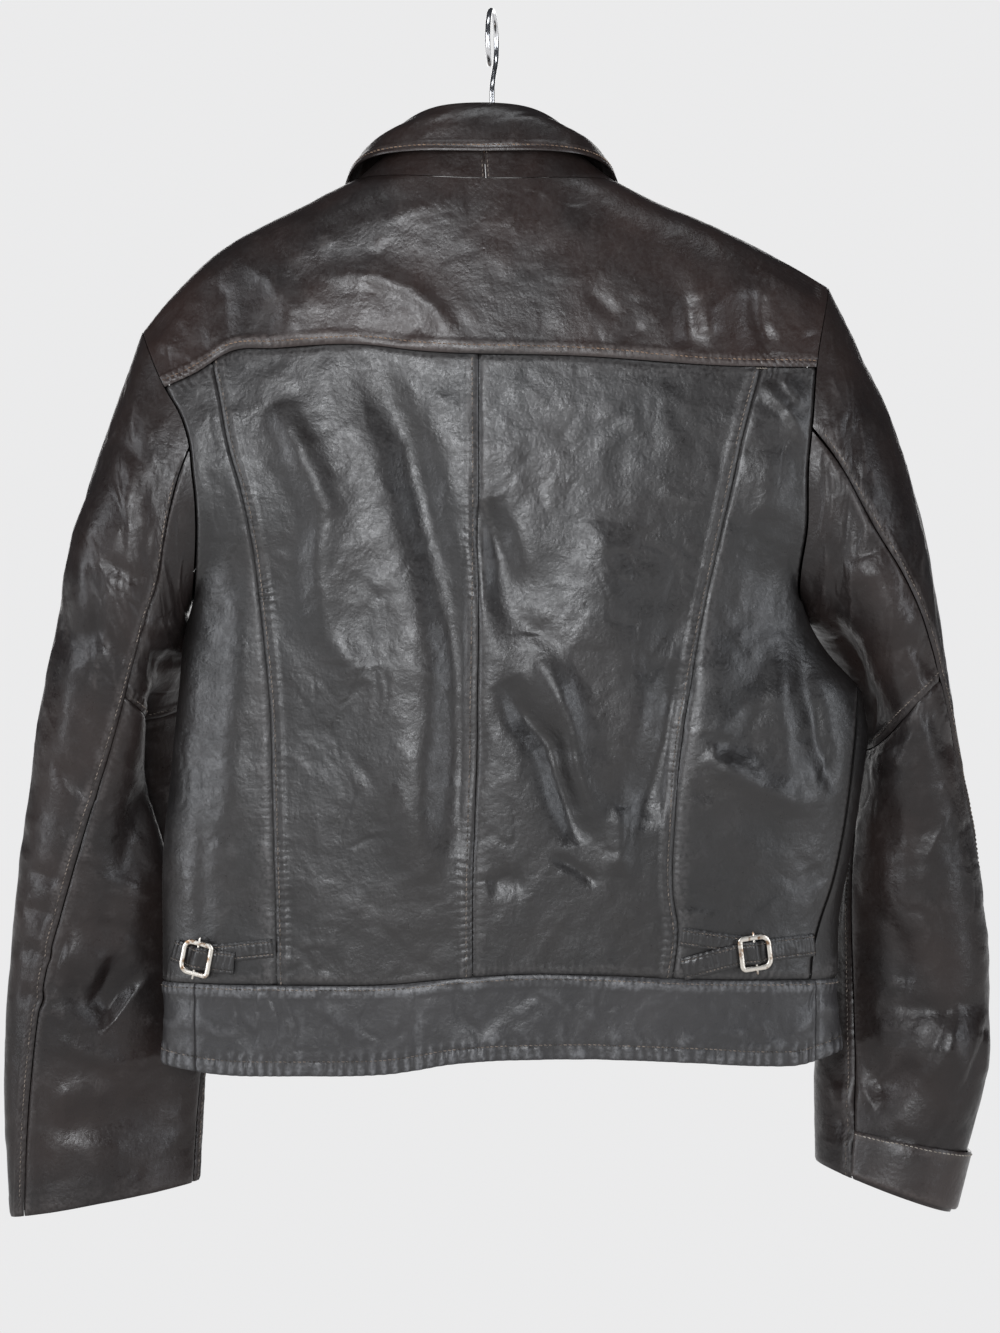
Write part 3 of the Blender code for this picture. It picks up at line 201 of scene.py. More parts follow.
CREASES = {
    BACK: [
        (-5, 9, [(-5, -334), (4, -368), (13, -398), (26, -415), (35, -422), (29, -429)]),
        (-4, 8, [(9, -453), (23, -478), (38, -497), (45, -520), (60, -562)]),
        (3.5, 8, [(31, -435), (52, -487), (53, -506), (65, -546)]), (-2, 4, [(41, -570), (55, -578), (69, -588)]),
        (-2.5, 8, [(-3, -588), (22, -586)]), (-4, 12, [(124, -439), (114, -495), (104, -528), (96, -552)]),
        (3, 8, [(87, -537), (84, -584)]), (3, 18, [(74, -347), (75, -433)]), (-2.5, 9, [(132, -387), (98, -453)]),
        (-5, 15, [(-81, -245), (-68, -269), (-56, -296), (-47, -334), (-36, -376), (-27, -418), (-25, -469),
                  (-24, -520), (-25, -571)]),
        (3.5, 10, [(-142, -269), (-122, -314), (-108, -347)]),
        (3.5, 10, [(-109, -344), (-117, -384), (-109, -418), (-94, -444), (-109, -459)]),
        (3, 15, [(-41, -401), (-39, -487), (-48, -512), (-42, -588)]),
        (4, 14, [(-179, -374), (-175, -467), (-178, -553)]), (-2, 5, [(-194, -533), (-193, -626)]),
        (3, 7, [(206, -401), (189, -430)]), (3, 8, [(179, -456), (148, -493)]),
        (-5, 9, [(208, -429), (210, -466), (216, -520)]), (-3, 10, [(184, -400), (184, -409)]),
        (-2.5, 9, [(150, -497), (182, -497)]), (4, 8, [(144, -501), (165, -516), (189, -528), (215, -538)]),
        (4, 7, [(209, -467), (212, -497), (218, -520), (218, -538)]),
        (-4, 7, [(215, -467), (217, -491), (224, -514), (233, -528)]), (-3, 7, [(215, -578), (221, -591)]),
        (2.5, 5, [(180, -256), (196, -272), (209, -290)]), (2.5, 5, [(192, -249), (208, -271)]),
        (2.5, 14, [(184, -300), (184, -347)]), (2.5, 7, [(-167, -171), (-149, -185), (-137, -203), (-125, -221)]),
        (2.5, 7, [(-120, -184), (-75, -185), (-52, -195), (-36, -209), (-29, -223)]),
        (3.5, 18, [(-147, -155), (-99, -143), (-16, -132)]), (-2, 5, [(-189, -183), (-180, -195), (-179, -229)]),
        (-2, 5, [(-199, -200), (-195, -219), (-198, -239)]), (-3, 8, [(130, -195), (131, -235)]),
        (2.5, 8, [(143, -199), (143, -224)]), (-3.5, 6, [(179, -186), (180, -217), (189, -237)]),
        (3, 7, [(204, -201), (213, -223)]), (-1.5, 5, [(63, -193), (84, -213)]),
        (-1.5, 5, [(100, -217), (87, -229)]),
    ],
    FRONT: [
        (-3, 8, [(-196, -300), (-160, -330), (-130, -350)]), (3, 9, [(-60, -330), (-52, -450), (-60, -560)]),
        (-3, 9, [(190, -290), (160, -325), (140, -350)]), (-3, 8, [(60, -420), (90, -470), (96, -540)]),
        (3, 8, [(120, -560), (160, -580), (200, -600)]), (-2.5, 8, [(-190, -520), (-150, -545), (-110, -552)]),
    ],
}


def cubic(t, step, low, high, slope_low, slope_high):
    """A cubic piece's value at t, 0 to 1, from its values and slopes at both ends and its length."""
    return ((2 * t**3 - 3 * t**2 + 1) * low + (t**3 - 2 * t**2 + t) * step * slope_low
            + (3 * t**2 - 2 * t**3) * high + (t**3 - t**2) * step * slope_high)


def smooth(points, at):
    """The height at 'at' of a smooth curve through (place, height) points: cubic pieces with matching slopes."""
    place, height = np.array(sorted(points), float).T
    slope = np.gradient(height, place)
    at = np.clip(at, place[0], place[-1])
    i = np.clip(np.searchsorted(place, at) - 1, 0, len(place) - 2)
    step = place[i + 1] - place[i]
    return cubic((at - place[i]) / step, step, height[i], height[i + 1], slope[i], slope[i + 1])


def between(low, high, share):
    return low + (high - low) * share


def faded(value, low, high):
    """From 0 at low to 1 at high, with soft ends."""
    t = np.clip((value - low) / (high - low), 0, 1)
    return t * t * (3 - 2 * t)


def bell(value, at, width):
    """A Gaussian: 1 where the value is 'at', and near 0 from twice the width away."""
    return np.exp(-(((value - at) / width) ** 2))


def away_from(away, **edges):
    """0 at the named edges of a panel and 1 further in. Each edge is given where the rise starts and ends."""
    made = 1.0
    for edge, (low, high) in edges.items():
        made = made * faded(away[edge], low, high)
    return made


def unit(vectors):
    return vectors / np.maximum(np.linalg.norm(vectors, axis=-1, keepdims=True), 1e-12)


def lengths(points):
    """How far along a route each of its points is."""
    return np.concatenate([[0], np.cumsum(np.linalg.norm(np.diff(points, axis=0), axis=-1))])


def crease_height(creases, x, z, share=1.0):
    """The sum of soft bumps. Each is a Gaussian of the distance from its smoothed route, lower at its two ends."""
    x, z = np.broadcast_arrays(x, z)
    total = np.zeros(x.shape)
    for height, width, route in creases:
        p = np.array(route, float)
        at = lengths(p)
        steps = np.linspace(0, at[-1], 13)
        px, pz = (smooth(list(zip(at, p[:, k])), steps) for k in (0, 1))
        reach = 2.6 * width
        near = ((x > px.min() - reach) & (x < px.max() + reach) & (z > pz.min() - reach) & (z < pz.max() + reach))
        if not near.any():
            continue
        qx, qz = x[near][:, None], z[near][:, None]
        dx, dz = np.diff(px), np.diff(pz)
        t = np.clip(((qx - px[:-1]) * dx + (qz - pz[:-1]) * dz) / (dx**2 + dz**2 + 1e-9), 0, 1)
        away = np.hypot(qx - px[:-1] - t * dx, qz - pz[:-1] - t * dz)
        k = away.argmin(1)
        pick = np.arange(len(k))
        along = (k + t[pick, k]) / (len(px) - 1)
        taper = np.clip(np.minimum(along, 1 - along) / 0.22, 0, 1) ** 0.7
        total[near] += height * share * (0.15 + 0.85 * taper) * np.exp(-((away[pick, k] / width) ** 2))
    return total


def noise(x, y, size, seed):
    """Smooth noise from -1 to 1: seeded values at the corners of squares of the given size, blended between."""
    values = np.random.default_rng(seed).uniform(-1, 1, (61, 61))
    u, v = x / size + 500, y / size + 500
    i, j = np.floor(u).astype(int), np.floor(v).astype(int)
    fu, fv = u - i, v - j
    fu, fv = fu * fu * (3 - 2 * fu), fv * fv * (3 - 2 * fv)
    i0, j0, i1, j1 = i % 61, j % 61, (i + 1) % 61, (j + 1) % 61
    return ((values[i0, j0] * (1 - fu) + values[i1, j0] * fu) * (1 - fv)
            + (values[i0, j1] * (1 - fu) + values[i1, j1] * fu) * fv)


def crumple(x, z, seed):
    """Worn leather's unevenness: rounded swellings, and thin creases where warped noise passes through zero."""
    wx, wz = x + 9 * noise(x, z, 31, seed + 5), z + 9 * noise(x, z, 27, seed + 6)
    swell = 0.75 * noise(x, z, 38, seed) + 0.42 * noise(wx, wz, 15, seed + 1) + 0.16 * noise(wx, wz, 6.5, seed + 2)
    crack = bell(noise(wx * 1.5, wz * 0.8, 19, seed + 3), 0, 0.10) * faded(noise(x, z, 46, seed + 4), -0.1, 0.7)
    return swell - 0.4 * crack


def edge_x(side, z):
    """The torso's outermost x at a height: the shoulder line above the shoulder point, and the side below it."""
    return np.where(z > SHOULDER[side][0][0], smooth(SHOULDER[side], z), smooth(SIDE[side], z))


def armhole_depth(side, z):
    """How far the armhole's edge lies from the middle plane: a half ellipse from shoulder point to armpit."""
    top, low = SHOULDER[side][0][0], LEVEL
    share = (z - (top + low) / 2) / ((top - low) / 2)
    return ARM_DEPTH * np.sqrt(np.clip(1 - share**2, 0, 1))


def section(z, face):
    """At a height: both edges' x, how much of the oval is left at each, and its half depth."""
    depth = smooth(DEPTH[face], z)
    kept = [np.sqrt(np.clip(1 - (armhole_depth(s, z) / depth) ** (2 / ROUND), 0, 1)) for s in (LEFT, RIGHT)]
    return edge_x(LEFT, z) + SEAM / 2, edge_x(RIGHT, z) - SEAM / 2, kept[0], kept[1], depth


def oval_y(across, depth, x, z, face, creased=True):
    """The torso's y where 'across' runs from -1 to 1 over the oval. Folds fade out towards its sides."""
    rise = np.clip(1 - across**2, 0, 1) ** (ROUND / 2)
    ridge = SEAM / 2 * np.clip((z + 380) / 60, 0, 1)
    fold = 0
    if creased:
        fold = crease_height(SOFT_FOLDS[face], x, z, 0.6) + crease_height(CREASES[face], x, z, 0.9)
        fold = fold * np.clip(rise * 1.6 - 0.5, 0, 1)
    return face * (depth * rise + ridge + fold)


def torso_at(x, z, face):
    """The torso's outer point at an x and a height."""
    left, right, kept_left, kept_right, depth = section(z, face)
    share = (x - left) / (right - left)
    across = -kept_left + share * (kept_left + kept_right)
    return np.stack([x, oval_y(across, depth, x, z, face), z], -1)


def torso_round(turn, z, creased=True):
    """The same outer point by how far round it is: 0 left edge, 1 right edge by way of the back, 2 left again."""
    across = -np.cos(math.pi * turn)
    points = []
    for face in (BACK, FRONT):
        left, right, kept_left, kept_right, depth = section(z, face)
        x = left + (right - left) * (across + kept_left) / (kept_left + kept_right)
        points.append(np.stack([x, oval_y(across, depth, x, z, face, creased), z], -1))
    behind = (turn % 2) <= 1
    return np.where(behind[..., None], points[0], points[1])


def turn_at(x, z, face):
    """How far round the torso an x on one face is."""
    left, right, kept_left, kept_right, _ = section(z, face)
    share = np.clip((x - left) / (right - left), 0, 1)
    turn = np.arccos(np.clip(kept_left - share * (kept_left + kept_right), -1, 1)) / math.pi
    return turn if face == BACK else 2 - turn


def grid(across, along):
    """u and v over a panel, u changing along rows. Both counts of cells are made even."""
    return np.meshgrid(np.linspace(0, 1, across // 2 * 2 + 1), np.linspace(0, 1, along // 2 * 2 + 1), indexing="ij")


def grid_normals(points):
    """Unit normals of a grid of points: the cross product of its differences along both ways."""
    return unit(np.cross(np.gradient(points, axis=0), np.gradient(points, axis=1)))


def round_panel(left, right, low, high, knee=None):
    """A torso surface between two turns, by height, and two heights, by place. Its row at the knee is at LEVEL."""

    def height(x, y, v):
        if knee is None:
            return between(low(x, y), high(x, y), v)
        under, over = np.clip(v / knee, 0, 1), np.clip((v - knee) / (1 - knee), 0, 1) ** 1.5
        return between(low(x, y), LEVEL, under) + (high(x, y) - LEVEL) * over

    def surface(u, v):
        z = between(-700.0, -300.0, v) + 0 * u
        for _ in range(5):
            x, y = torso_round(between(left(z), right(z), u), z, False)[..., :2].transpose(2, 0, 1)
            z = height(x, y, v)
        return torso_round(between(left(z), right(z), u), z)

    return surface


def height_of(behind, before, shift):
    """A seam's height all round the torso, from its (x, height) points on the back and on the front."""
    return lambda x, y: np.where(y <= 0, smooth(behind, x), smooth(before, x)) + shift


def seam_turn(seam, shift):
    return lambda z: turn_at(smooth(seam, z) + shift, z, BACK)


def side_seam_turn(z):
    """The right side seam: on the back low down, and running up into the armpit."""
    low = turn_at(smooth(SIDE_SEAM_RIGHT, z), z, BACK)
    start = SIDE_SEAM_RIGHT[-1][0]
    return between(low, 1.0, np.clip((z - start) / (LEVEL - start), 0, 1))


def outer_turn(side, z):
    """Where a side back panel ends: at the armhole, and at the side seam below it."""
    cut = np.arccos(section(z, BACK)[2 if side == LEFT else 3]) / math.pi
    if side == LEFT:
        return np.where(z > LEVEL, cut, SIDE_GAP)
    return np.where(z > LEVEL, 1 - cut, side_seam_turn(z) - SIDE_GAP)


def back_surface(k):
    """One of the four back panels below the yoke, from the left."""
    half = SEAM / 2
    seams = [lambda z: outer_turn(LEFT, z), seam_turn(PRINCESS[LEFT], -half), seam_turn(PRINCESS[LEFT], half),
             seam_turn(CENTRE, -half), seam_turn(CENTRE, half), seam_turn(PRINCESS[RIGHT], -half),
             seam_turn(PRINCESS[RIGHT], half), lambda z: outer_turn(RIGHT, z)]
    return round_panel(seams[2 * k], seams[2 * k + 1], height_of(BAND, FRONT_BAND, half),
                       height_of(YOKE, YOKE, -half), LOW_STEPS / (LOW_STEPS + HIGH_STEPS))


def edge_distances(points):
    """How far each point of a panel lies from its four edges: u 0, u 1, v 0 and v 1, along the grid's lines."""
    along_u = np.linalg.norm(np.diff(points, axis=0), axis=-1)
    along_v = np.linalg.norm(np.diff(points, axis=1), axis=-1)
    from_u = np.concatenate([np.zeros((1, points.shape[1])), np.cumsum(along_u, axis=0)])
    from_v = np.concatenate([np.zeros((points.shape[0], 1)), np.cumsum(along_v, axis=1)], axis=1)
    return dict(u0=from_u, u1=from_u[-1:] - from_u, v0=from_v, v1=from_v[:, -1:] - from_v)


def calmed(points, level, reach, weight):
    """A panel whose x and depth are averaged up and down its columns near a level, to soften a kink there."""
    steps = np.linspace(-reach, reach, 15)
    share = weight * bell(points[..., 2], level, reach)
    made = points.copy()
    for axis in (0, 1):
        blurred = [np.mean([np.interp(p[:, 2] + t, p[:, 2], p[:, axis]) for t in steps], axis=0) for p in points]
        made[..., axis] = between(points[..., axis], np.array(blurred), share)
    return made


def seam_relief(away, run, seed, allowance=0.0, pucker=0.0, stitch=4.0):
    """Beside a seam the edge rolls in. A stitched allowance stands up as a band, with a groove under its stitches
    and puckers across it, whose spacing and depth wander."""
    rolled = -1.15 * bell(away, 0, 1.15) - 0.25 * bell(away, 0, 3.2)
    band = allowance * (1 - faded(away, 7.2, 9.6)) - 0.6 * allowance * bell(away, stitch, 1.0)
    wander = noise(run, 0 * run, 17, seed + 11)
    depth = faded(noise(run, 0 * run + 40, 29, seed + 12), -0.7, 0.5)
    lean = run + 0.5 * away * noise(run, 0 * run + 9, 40, seed + 13)
    ripple = np.sin(2 * math.pi * lean / 5.0 + 3.2 * wander) * depth
    return rolled + band + pucker * ripple * bell(away, 3, 6.0)


def outwards_from_torso(points):
    return points * np.array([0.2, 1, 0])


def in_place_of(made, slot, *nodes):
    """A finished piece hangs with the jacket and stands for the model's nodes."""
    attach(made, "root")
    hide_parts(*nodes)


def leather_shell(name, points, lift, outwards, finish, nodes, slot="leather", wall=WALL):
    """A sheet of leather as a closed wall. Its outer face is a grid of points raised along their normals by lift.
    Its inner face lies one wall further in and has every other row and column. Ridges and edges carry a mask that
    pales them: partly rubbing, partly a painted highlight."""
    normal = grid_normals(points)
    turned = np.sign((normal * outwards(points)).sum())
    outer = points + normal * (lift * turned)[..., None]
    # This mask rises on the relief's crests and paints them paler: rubbing there, plus a painted highlight where
    # light would catch them.
    wear_and_highlight = np.clip((lift - softened(lift)) * 1.5 - 0.1, 0, 1)
    if turned < 0:
        outer, wear_and_highlight = outer[::-1], wear_and_highlight[::-1]
    facing = grid_normals(outer)
    inner = (outer - facing * wall)[::2, ::2]
    m, n = outer.shape[:2]
    p, q = inner.shape[:2]
    at, below = np.arange(m * n).reshape(m, n), np.arange(p * q).reshape(p, q) + m * n
    top = np.stack([at[:-1, :-1], at[1:, :-1], at[1:, 1:], at[:-1, 1:]], -1).reshape(-1, 4)
    low = np.stack([below[:-1, :-1], below[:-1, 1:], below[1:, 1:], below[1:, :-1]], -1).reshape(-1, 4)
    rim = [np.concatenate([g[:-1, 0], g[-1, :-1], g[:0:-1, -1], g[0, :0:-1]]) for g in (at, below)]
    sides = np.stack([np.roll(rim[0], -2)[::2], rim[0][1::2], rim[0][::2], rim[1], np.roll(rim[1], -1)], -1)
    places = np.concatenate([outer.reshape(-1, 3), inner.reshape(-1, 3)]) * MM
    made = plain_mesh(name, places, top.tolist() + low.tolist() + sides.tolist(), finish)
    worn_and_highlit = made.data.attributes.new("wear_and_highlight", "FLOAT", "POINT")
    worn_and_highlit.data.foreach_set("value", np.concatenate([wear_and_highlight.ravel(), np.zeros(p * q)]).astype(np.float32))
    in_place_of(made, slot, *nodes)
    return outer if turned > 0 else outer[::-1]


def softened(values, reach=4):
    """Each value of a grid averaged with those up to 'reach' rows and columns away, by running sums."""
    window = 2 * reach + 1
    for axis in (0, 1):
        first, last = (np.repeat(np.take(values, [end], axis), reach, axis) for end in (0, -1))
        total = np.cumsum(np.concatenate([first, values, last], axis), axis)
        total = np.concatenate([np.zeros_like(np.take(total, [0], axis)), total], axis)
        count = np.arange(values.shape[axis])
        values = (np.take(total, count + window, axis) - np.take(total, count, axis)) / window
    return values


def plain_mesh(name, places, faces, finish, sharp=60):
    """A mesh from points in metres, smooth apart from its sharp edges."""
    mesh = bpy.data.meshes.new(name)
    mesh.from_pydata(places.tolist(), [], faces)
    mesh.shade_smooth()
    mesh.set_sharp_from_angle(angle=math.radians(sharp))
    mesh.materials.append(finish)
    made = bpy.data.objects.new(name, mesh)
    bpy.context.scene.collection.objects.link(made)
    return made


class Finish:
    """A material in the making. Its patterns follow the place on the object. Each method gives a node's output."""

    def __init__(self, name, values):
        self.material = bpy.data.materials.new(name)
        self.material.use_nodes = True
        self.tree = self.material.node_tree
        self.shader = self.tree.nodes["Principled BSDF"]
        for key, value in values.items():
            self.shader.inputs[key].default_value = value
        self.place = self.add("ShaderNodeTexCoord", {}, "Object")

    def add(self, kind, inputs, output=0, **settings):
        return add_node(self.tree, kind, inputs, **settings).outputs[output]

    def noise(self, scale, detail, distortion=0.0):
        inputs = {"Vector": self.place, "Scale": scale, "Detail": detail, "Distortion": distortion}
        return self.add("ShaderNodeTexNoise", inputs)

    def cells(self, scale):
        return self.add("ShaderNodeTexVoronoi", {"Vector": self.place, "Scale": scale}, feature="DISTANCE_TO_EDGE")

    def ranged(self, value, low, high, to_low=0.0, to_high=1.0):
        inputs = {"Value": value, "From Min": low, "From Max": high, "To Min": to_low, "To Max": to_high}
        return self.add("ShaderNodeMapRange", inputs)

    def mixed(self, share, first, second):
        first, second = ((*colour, 1) if isinstance(colour, tuple) else colour for colour in (first, second))
        return self.add("ShaderNodeMix", {"Factor": share, 6: first, 7: second}, 2, data_type="RGBA")

    def maths(self, operation, first, second):
        return self.add("ShaderNodeMath", {0: first, 1: second}, operation=operation)

    def made(self, outputs):
        """The material, once the given outputs feed its shader."""
        for key, output in outputs.items():
            self.tree.links.new(output, self.shader.inputs[key])
        return self.material


def leather(name, brown, patch, worn_and_highlit, roughness, coat=0.25, shine=0.46):
    """Aged leather: two browns in large patches, over a fine pebbled grain. Ridges are paler and duller: rubbing,
    and a painted highlight.
    """
    hide = Finish(name, {"Coat Weight": coat, "Coat Roughness": 0.34, "Specular IOR Level": shine})
    wear_and_highlight = hide.add("ShaderNodeAttribute", {}, "Fac", attribute_name="wear_and_highlight")
    broad, middle, fine = hide.noise(14, 4), hide.noise(75, 6), hide.noise(420, 5)
    pebble, crazing = hide.cells(620), hide.cells(210)
    # Paler, duller crests from the ridge mask: rubbing, together with a painted highlight.
    rub_and_highlight = hide.maths("MULTIPLY", wear_and_highlight, hide.ranged(fine, 0.35, 0.62, 0.15, 1))
    colour = hide.mixed(hide.ranged(broad, 0.36, 0.64), brown, patch)
    rough = hide.maths("ADD", hide.ranged(fine, 0.35, 0.65, roughness - 0.06, roughness + 0.06),
                       hide.maths("MULTIPLY", rub_and_highlight, 0.1))
    rough = hide.maths("ADD", rough, hide.ranged(middle, 0.35, 0.65, 0.06, -0.06))
    height = hide.maths("ADD", hide.maths("MULTIPLY", hide.ranged(pebble, 0, 0.00045), 0.0001),
                        hide.maths("MULTIPLY", hide.ranged(crazing, 0, 0.0009), 0.00007))
    height = hide.maths("ADD", height, hide.maths("MULTIPLY", fine, 0.0002))
    height = hide.maths("ADD", height, hide.maths("MULTIPLY", middle, 0.0006))
    bump = hide.add("ShaderNodeBump", {"Strength": 1, "Distance": 1, "Height": height})
    return hide.made({"Base Color": hide.mixed(rub_and_highlight, colour, worn_and_highlit), "Roughness": rough, "Normal": bump,
                      "Coat Normal": bump})


def sample(points, i, j):
    """Points between a grid's rows and columns, at fractional places i and j."""
    i, j = np.clip(i, 0, points.shape[0] - 1.001), np.clip(j, 0, points.shape[1] - 1.001)
    a, b = i.astype(int), j.astype(int)
    s, t = (i - a)[..., None], (j - b)[..., None]
    return ((points[a, b] * (1 - s) + points[a + 1, b] * s) * (1 - t)
            + (points[a, b + 1] * (1 - s) + points[a + 1, b + 1] * s) * t)


def beside_edge(points, edge, away, first=0.0, last=1.0, count=500):
    """A line on a panel, at a distance from one of its edges, and the panel's normals along it."""
    distance = edge_distances(points)[edge]
    m, n = points.shape[:2]
    share = np.linspace(first, last, count)
    if edge[0] == "u":
        j = share * (n - 1)
        whole = np.interp(j, np.arange(n), distance.max(0))
        i = np.clip(away / whole, 0, 1) * (m - 1)
        i = i if edge == "u0" else m - 1 - i
    else:
        i = share * (m - 1)
        whole = np.interp(i, np.arange(m), distance.max(1))
        j = np.clip(away / whole, 0, 1) * (n - 1)
        j = j if edge == "v0" else n - 1 - j
    return sample(points, i, j), sample(grid_normals(points), i, j)


def tube_faces(rings, sides):
    """The quads between neighbouring rings of a tube."""
    k = np.arange(sides)
    quad = np.stack([k, (k + 1) % sides, (k + 1) % sides + sides, k + sides], -1)
    return (quad[None] + sides * np.arange(rings - 1)[:, None, None]).reshape(-1, 4)


def stitches(name, lines, finish, pitch=3.3, length=2.5, radius=0.36, outwards=None):
    """Rows of stitches as one mesh. Each stitch is a thin thread, thickest in the middle, whose ends dive into the
    leather: five rings of four points, along the line, a little askew."""
    rings, all_points, all_faces = 5, [], []
    for line, normal in lines:
        if outwards is not None:
            normal = normal * np.sign((normal * outwards(line)).sum())
        at = lengths(line)
        middle = np.arange(pitch / 2, at[-1] - pitch / 2, pitch)
        t = np.linspace(-1, 1, rings)
        where = middle[:, None] + t * length / 2
        centre = np.stack([np.interp(where, at, line[:, k]) for k in range(3)], -1)
        up = unit(np.stack([np.interp(where, at, normal[:, k]) for k in range(3)], -1))
        way = unit(centre[:, -1:] - centre[:, :1])
        aside = unit(np.cross(way, up))
        centre = centre + up * (0.34 - 0.5 * t**4)[:, None] + aside * (0.16 * t)[:, None]
        thick = radius * np.array([0.45, 0.95, 1, 0.95, 0.45])[:, None]
        corners = np.stack([centre + way * thick for way in (aside, up, -aside, -up)], 2)
        base = sum(len(p) for p in all_points)
        all_points.append(corners.reshape(-1, 3))
        caps = np.array([[3, 2, 1, 0], [4 * rings - 4, 4 * rings - 3, 4 * rings - 2, 4 * rings - 1]])
        each = np.concatenate([tube_faces(rings, 4), caps])[:, ::-1]
        all_faces.append((each[None] + base + 4 * rings * np.arange(len(middle))[:, None, None]).reshape(-1, 4))
    made = plain_mesh(name, np.concatenate(all_points) * MM, np.concatenate(all_faces).tolist(), finish)
    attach(made, "root")
    return made


def thread(name, light, dark):
    """Twisted thread: two shades along it, matt."""
    twist = Finish(name, {"Roughness": 0.62})
    return twist.made({"Base Color": twist.mixed(twist.ranged(twist.noise(160, 5), 0.4, 0.6), dark, light)})


# Each leather's third colour is that of its crests: rubbed, and painted as a highlight.
back_leather = leather("back_leather", (0.009, 0.0082, 0.0082), (0.015, 0.0128, 0.0122), (0.055, 0.051, 0.05), 0.38)
dark_thread = thread("dark_thread", (0.22, 0.18, 0.15), (0.035, 0.03, 0.026))
tan_thread = thread("tan_thread", (0.27, 0.18, 0.12), (0.09, 0.06, 0.045))
BACK_CELLS, BACK_ROWS = (44, 92, 92, 64), 270  # columns of the four panels here, and their rows
BANDS = ((0, 0), (0.55, 0.5), (0, 0.55), (0, 0))  # height of each panel's stitched bands, at its edges u 0 and u 1
PANELS = ("side_left", "back_left", "back_right", "side_right")
panel_points = {}
for k, name in enumerate(PANELS):
    u, v = grid(BACK_CELLS[k], BACK_ROWS)
    points = back_surface(k)(u, v)
    away = edge_distances(points)
    outer_edge = {0: "u0", 3: "u1"}.get(k)
    points = calmed(points, LEVEL, 32, faded(away[outer_edge], 0, 12) if outer_edge else 1)
    calm = away_from(away, v0=(0, 6), v1=(0, 6))
    if outer_edge:
        calm = calm * faded(away[outer_edge], 1, 14)
    lift = crumple(points[..., 0], points[..., 2], 3) * calm * 0.9
    for edge, seed, band in (("u0", 20, BANDS[k][0]), ("u1", 30, BANDS[k][1])):
        lift += seam_relief(away[edge], away["v0"], seed + k, band, STITCHED_PUCKER if band else FLAT_PUCKER)
    lift += seam_relief(away["v1"], away["u0"], 40 + k, 0, 0.22)
    lift += seam_relief(away["v0"], away["u0"], 50 + k, 0, 0.28)
    panel_points[name] = leather_shell(f"{name}_leather", points, lift, outwards_from_torso, back_leather, [name])
stitches("back_seam_stitches",
         [beside_edge(panel_points[panel], edge, STITCH_IN)
          for panel, edge in (("back_left", "u0"), ("back_left", "u1"), ("back_right", "u1"))],
         dark_thread, outwards=outwards_from_torso)

# ---------------------------------------------------------------------------------------------------------------
# The yoke: one piece of redder leather across both shoulders. Its lower edge laps the back panels' upper edges and
# is stitched down with tan thread.
BACK_STEPS = (5, 10, 10, 6)  # the back panels' columns in the model, which share out the yoke's lower edge


def shoulder_path(side, share):
    """From the shoulder point, 0, to the neck point, 1."""
    z = between(SHOULDER[side][0][0], SHOULDER[side][-1][0], share)
    return smooth(SHOULDER[side], z), z


def armhole_bow(side, low_x, low_z, share):
    """How far the torso's edge lies from the straight line between a low point and the shoulder point."""
    high_z, high_x = SHOULDER[side][0]
    inset = SEAM / 2 if side == LEFT else -SEAM / 2
    return edge_x(side, between(low_z, high_z, share)) + inset - between(low_x, high_x, share)


def yoke_surface(u, v):
    """The yoke, from the back panels' upper edges to the shoulder lines and the neckline, in straight lines."""
    ends = np.concatenate([[0], np.cumsum(BACK_STEPS)]) / sum(BACK_STEPS)
    low_x, low_z = np.zeros(u.shape), np.zeros(u.shape)
    for k in range(4):
        share = np.clip((u - ends[k]) / (ends[k + 1] - ends[k]), 0, 1)
        edge = back_surface(k)(share[:, :1], np.ones_like(u[:, :1]))
        here = (u >= ends[k] - 1e-9) & (u <= ends[k + 1] + 1e-9)
        low_x, low_z = np.where(here, edge[..., 0], low_x), np.where(here, edge[..., 2] + SEAM, low_z)
    third = 1 / 3
    v = np.sin(v * math.pi / 2)
    left_x, left_z = shoulder_path(LEFT, np.clip(u / third, 0, 1))
    right_x, right_z = shoulder_path(RIGHT, np.clip((1 - u) / third, 0, 1))
    neck_x = between(SHOULDER[LEFT][-1][1], SHOULDER[RIGHT][-1][1], np.clip((u - third) / third, 0, 1))
    top_x = np.where(u < third, left_x, np.where(u > 2 * third, right_x, neck_x))
    top_z = np.where(u < third, left_z, np.where(u > 2 * third, right_z, smooth(NECK_BACK, neck_x)))
    x, z = between(low_x, top_x, v), between(low_z, top_z, v)
    for side, k, at, near in ((LEFT, 0, 0, 1 - 6 * u), (RIGHT, 3, 1, 6 * u - 5)):
        corner = back_surface(k)(np.full((1, 1), float(at)), np.ones((1, 1)))[0, 0]
        x = x + armhole_bow(side, corner[0], corner[2] + SEAM, v) * np.clip(near, 0, 1)
    return torso_at(x, z, BACK)


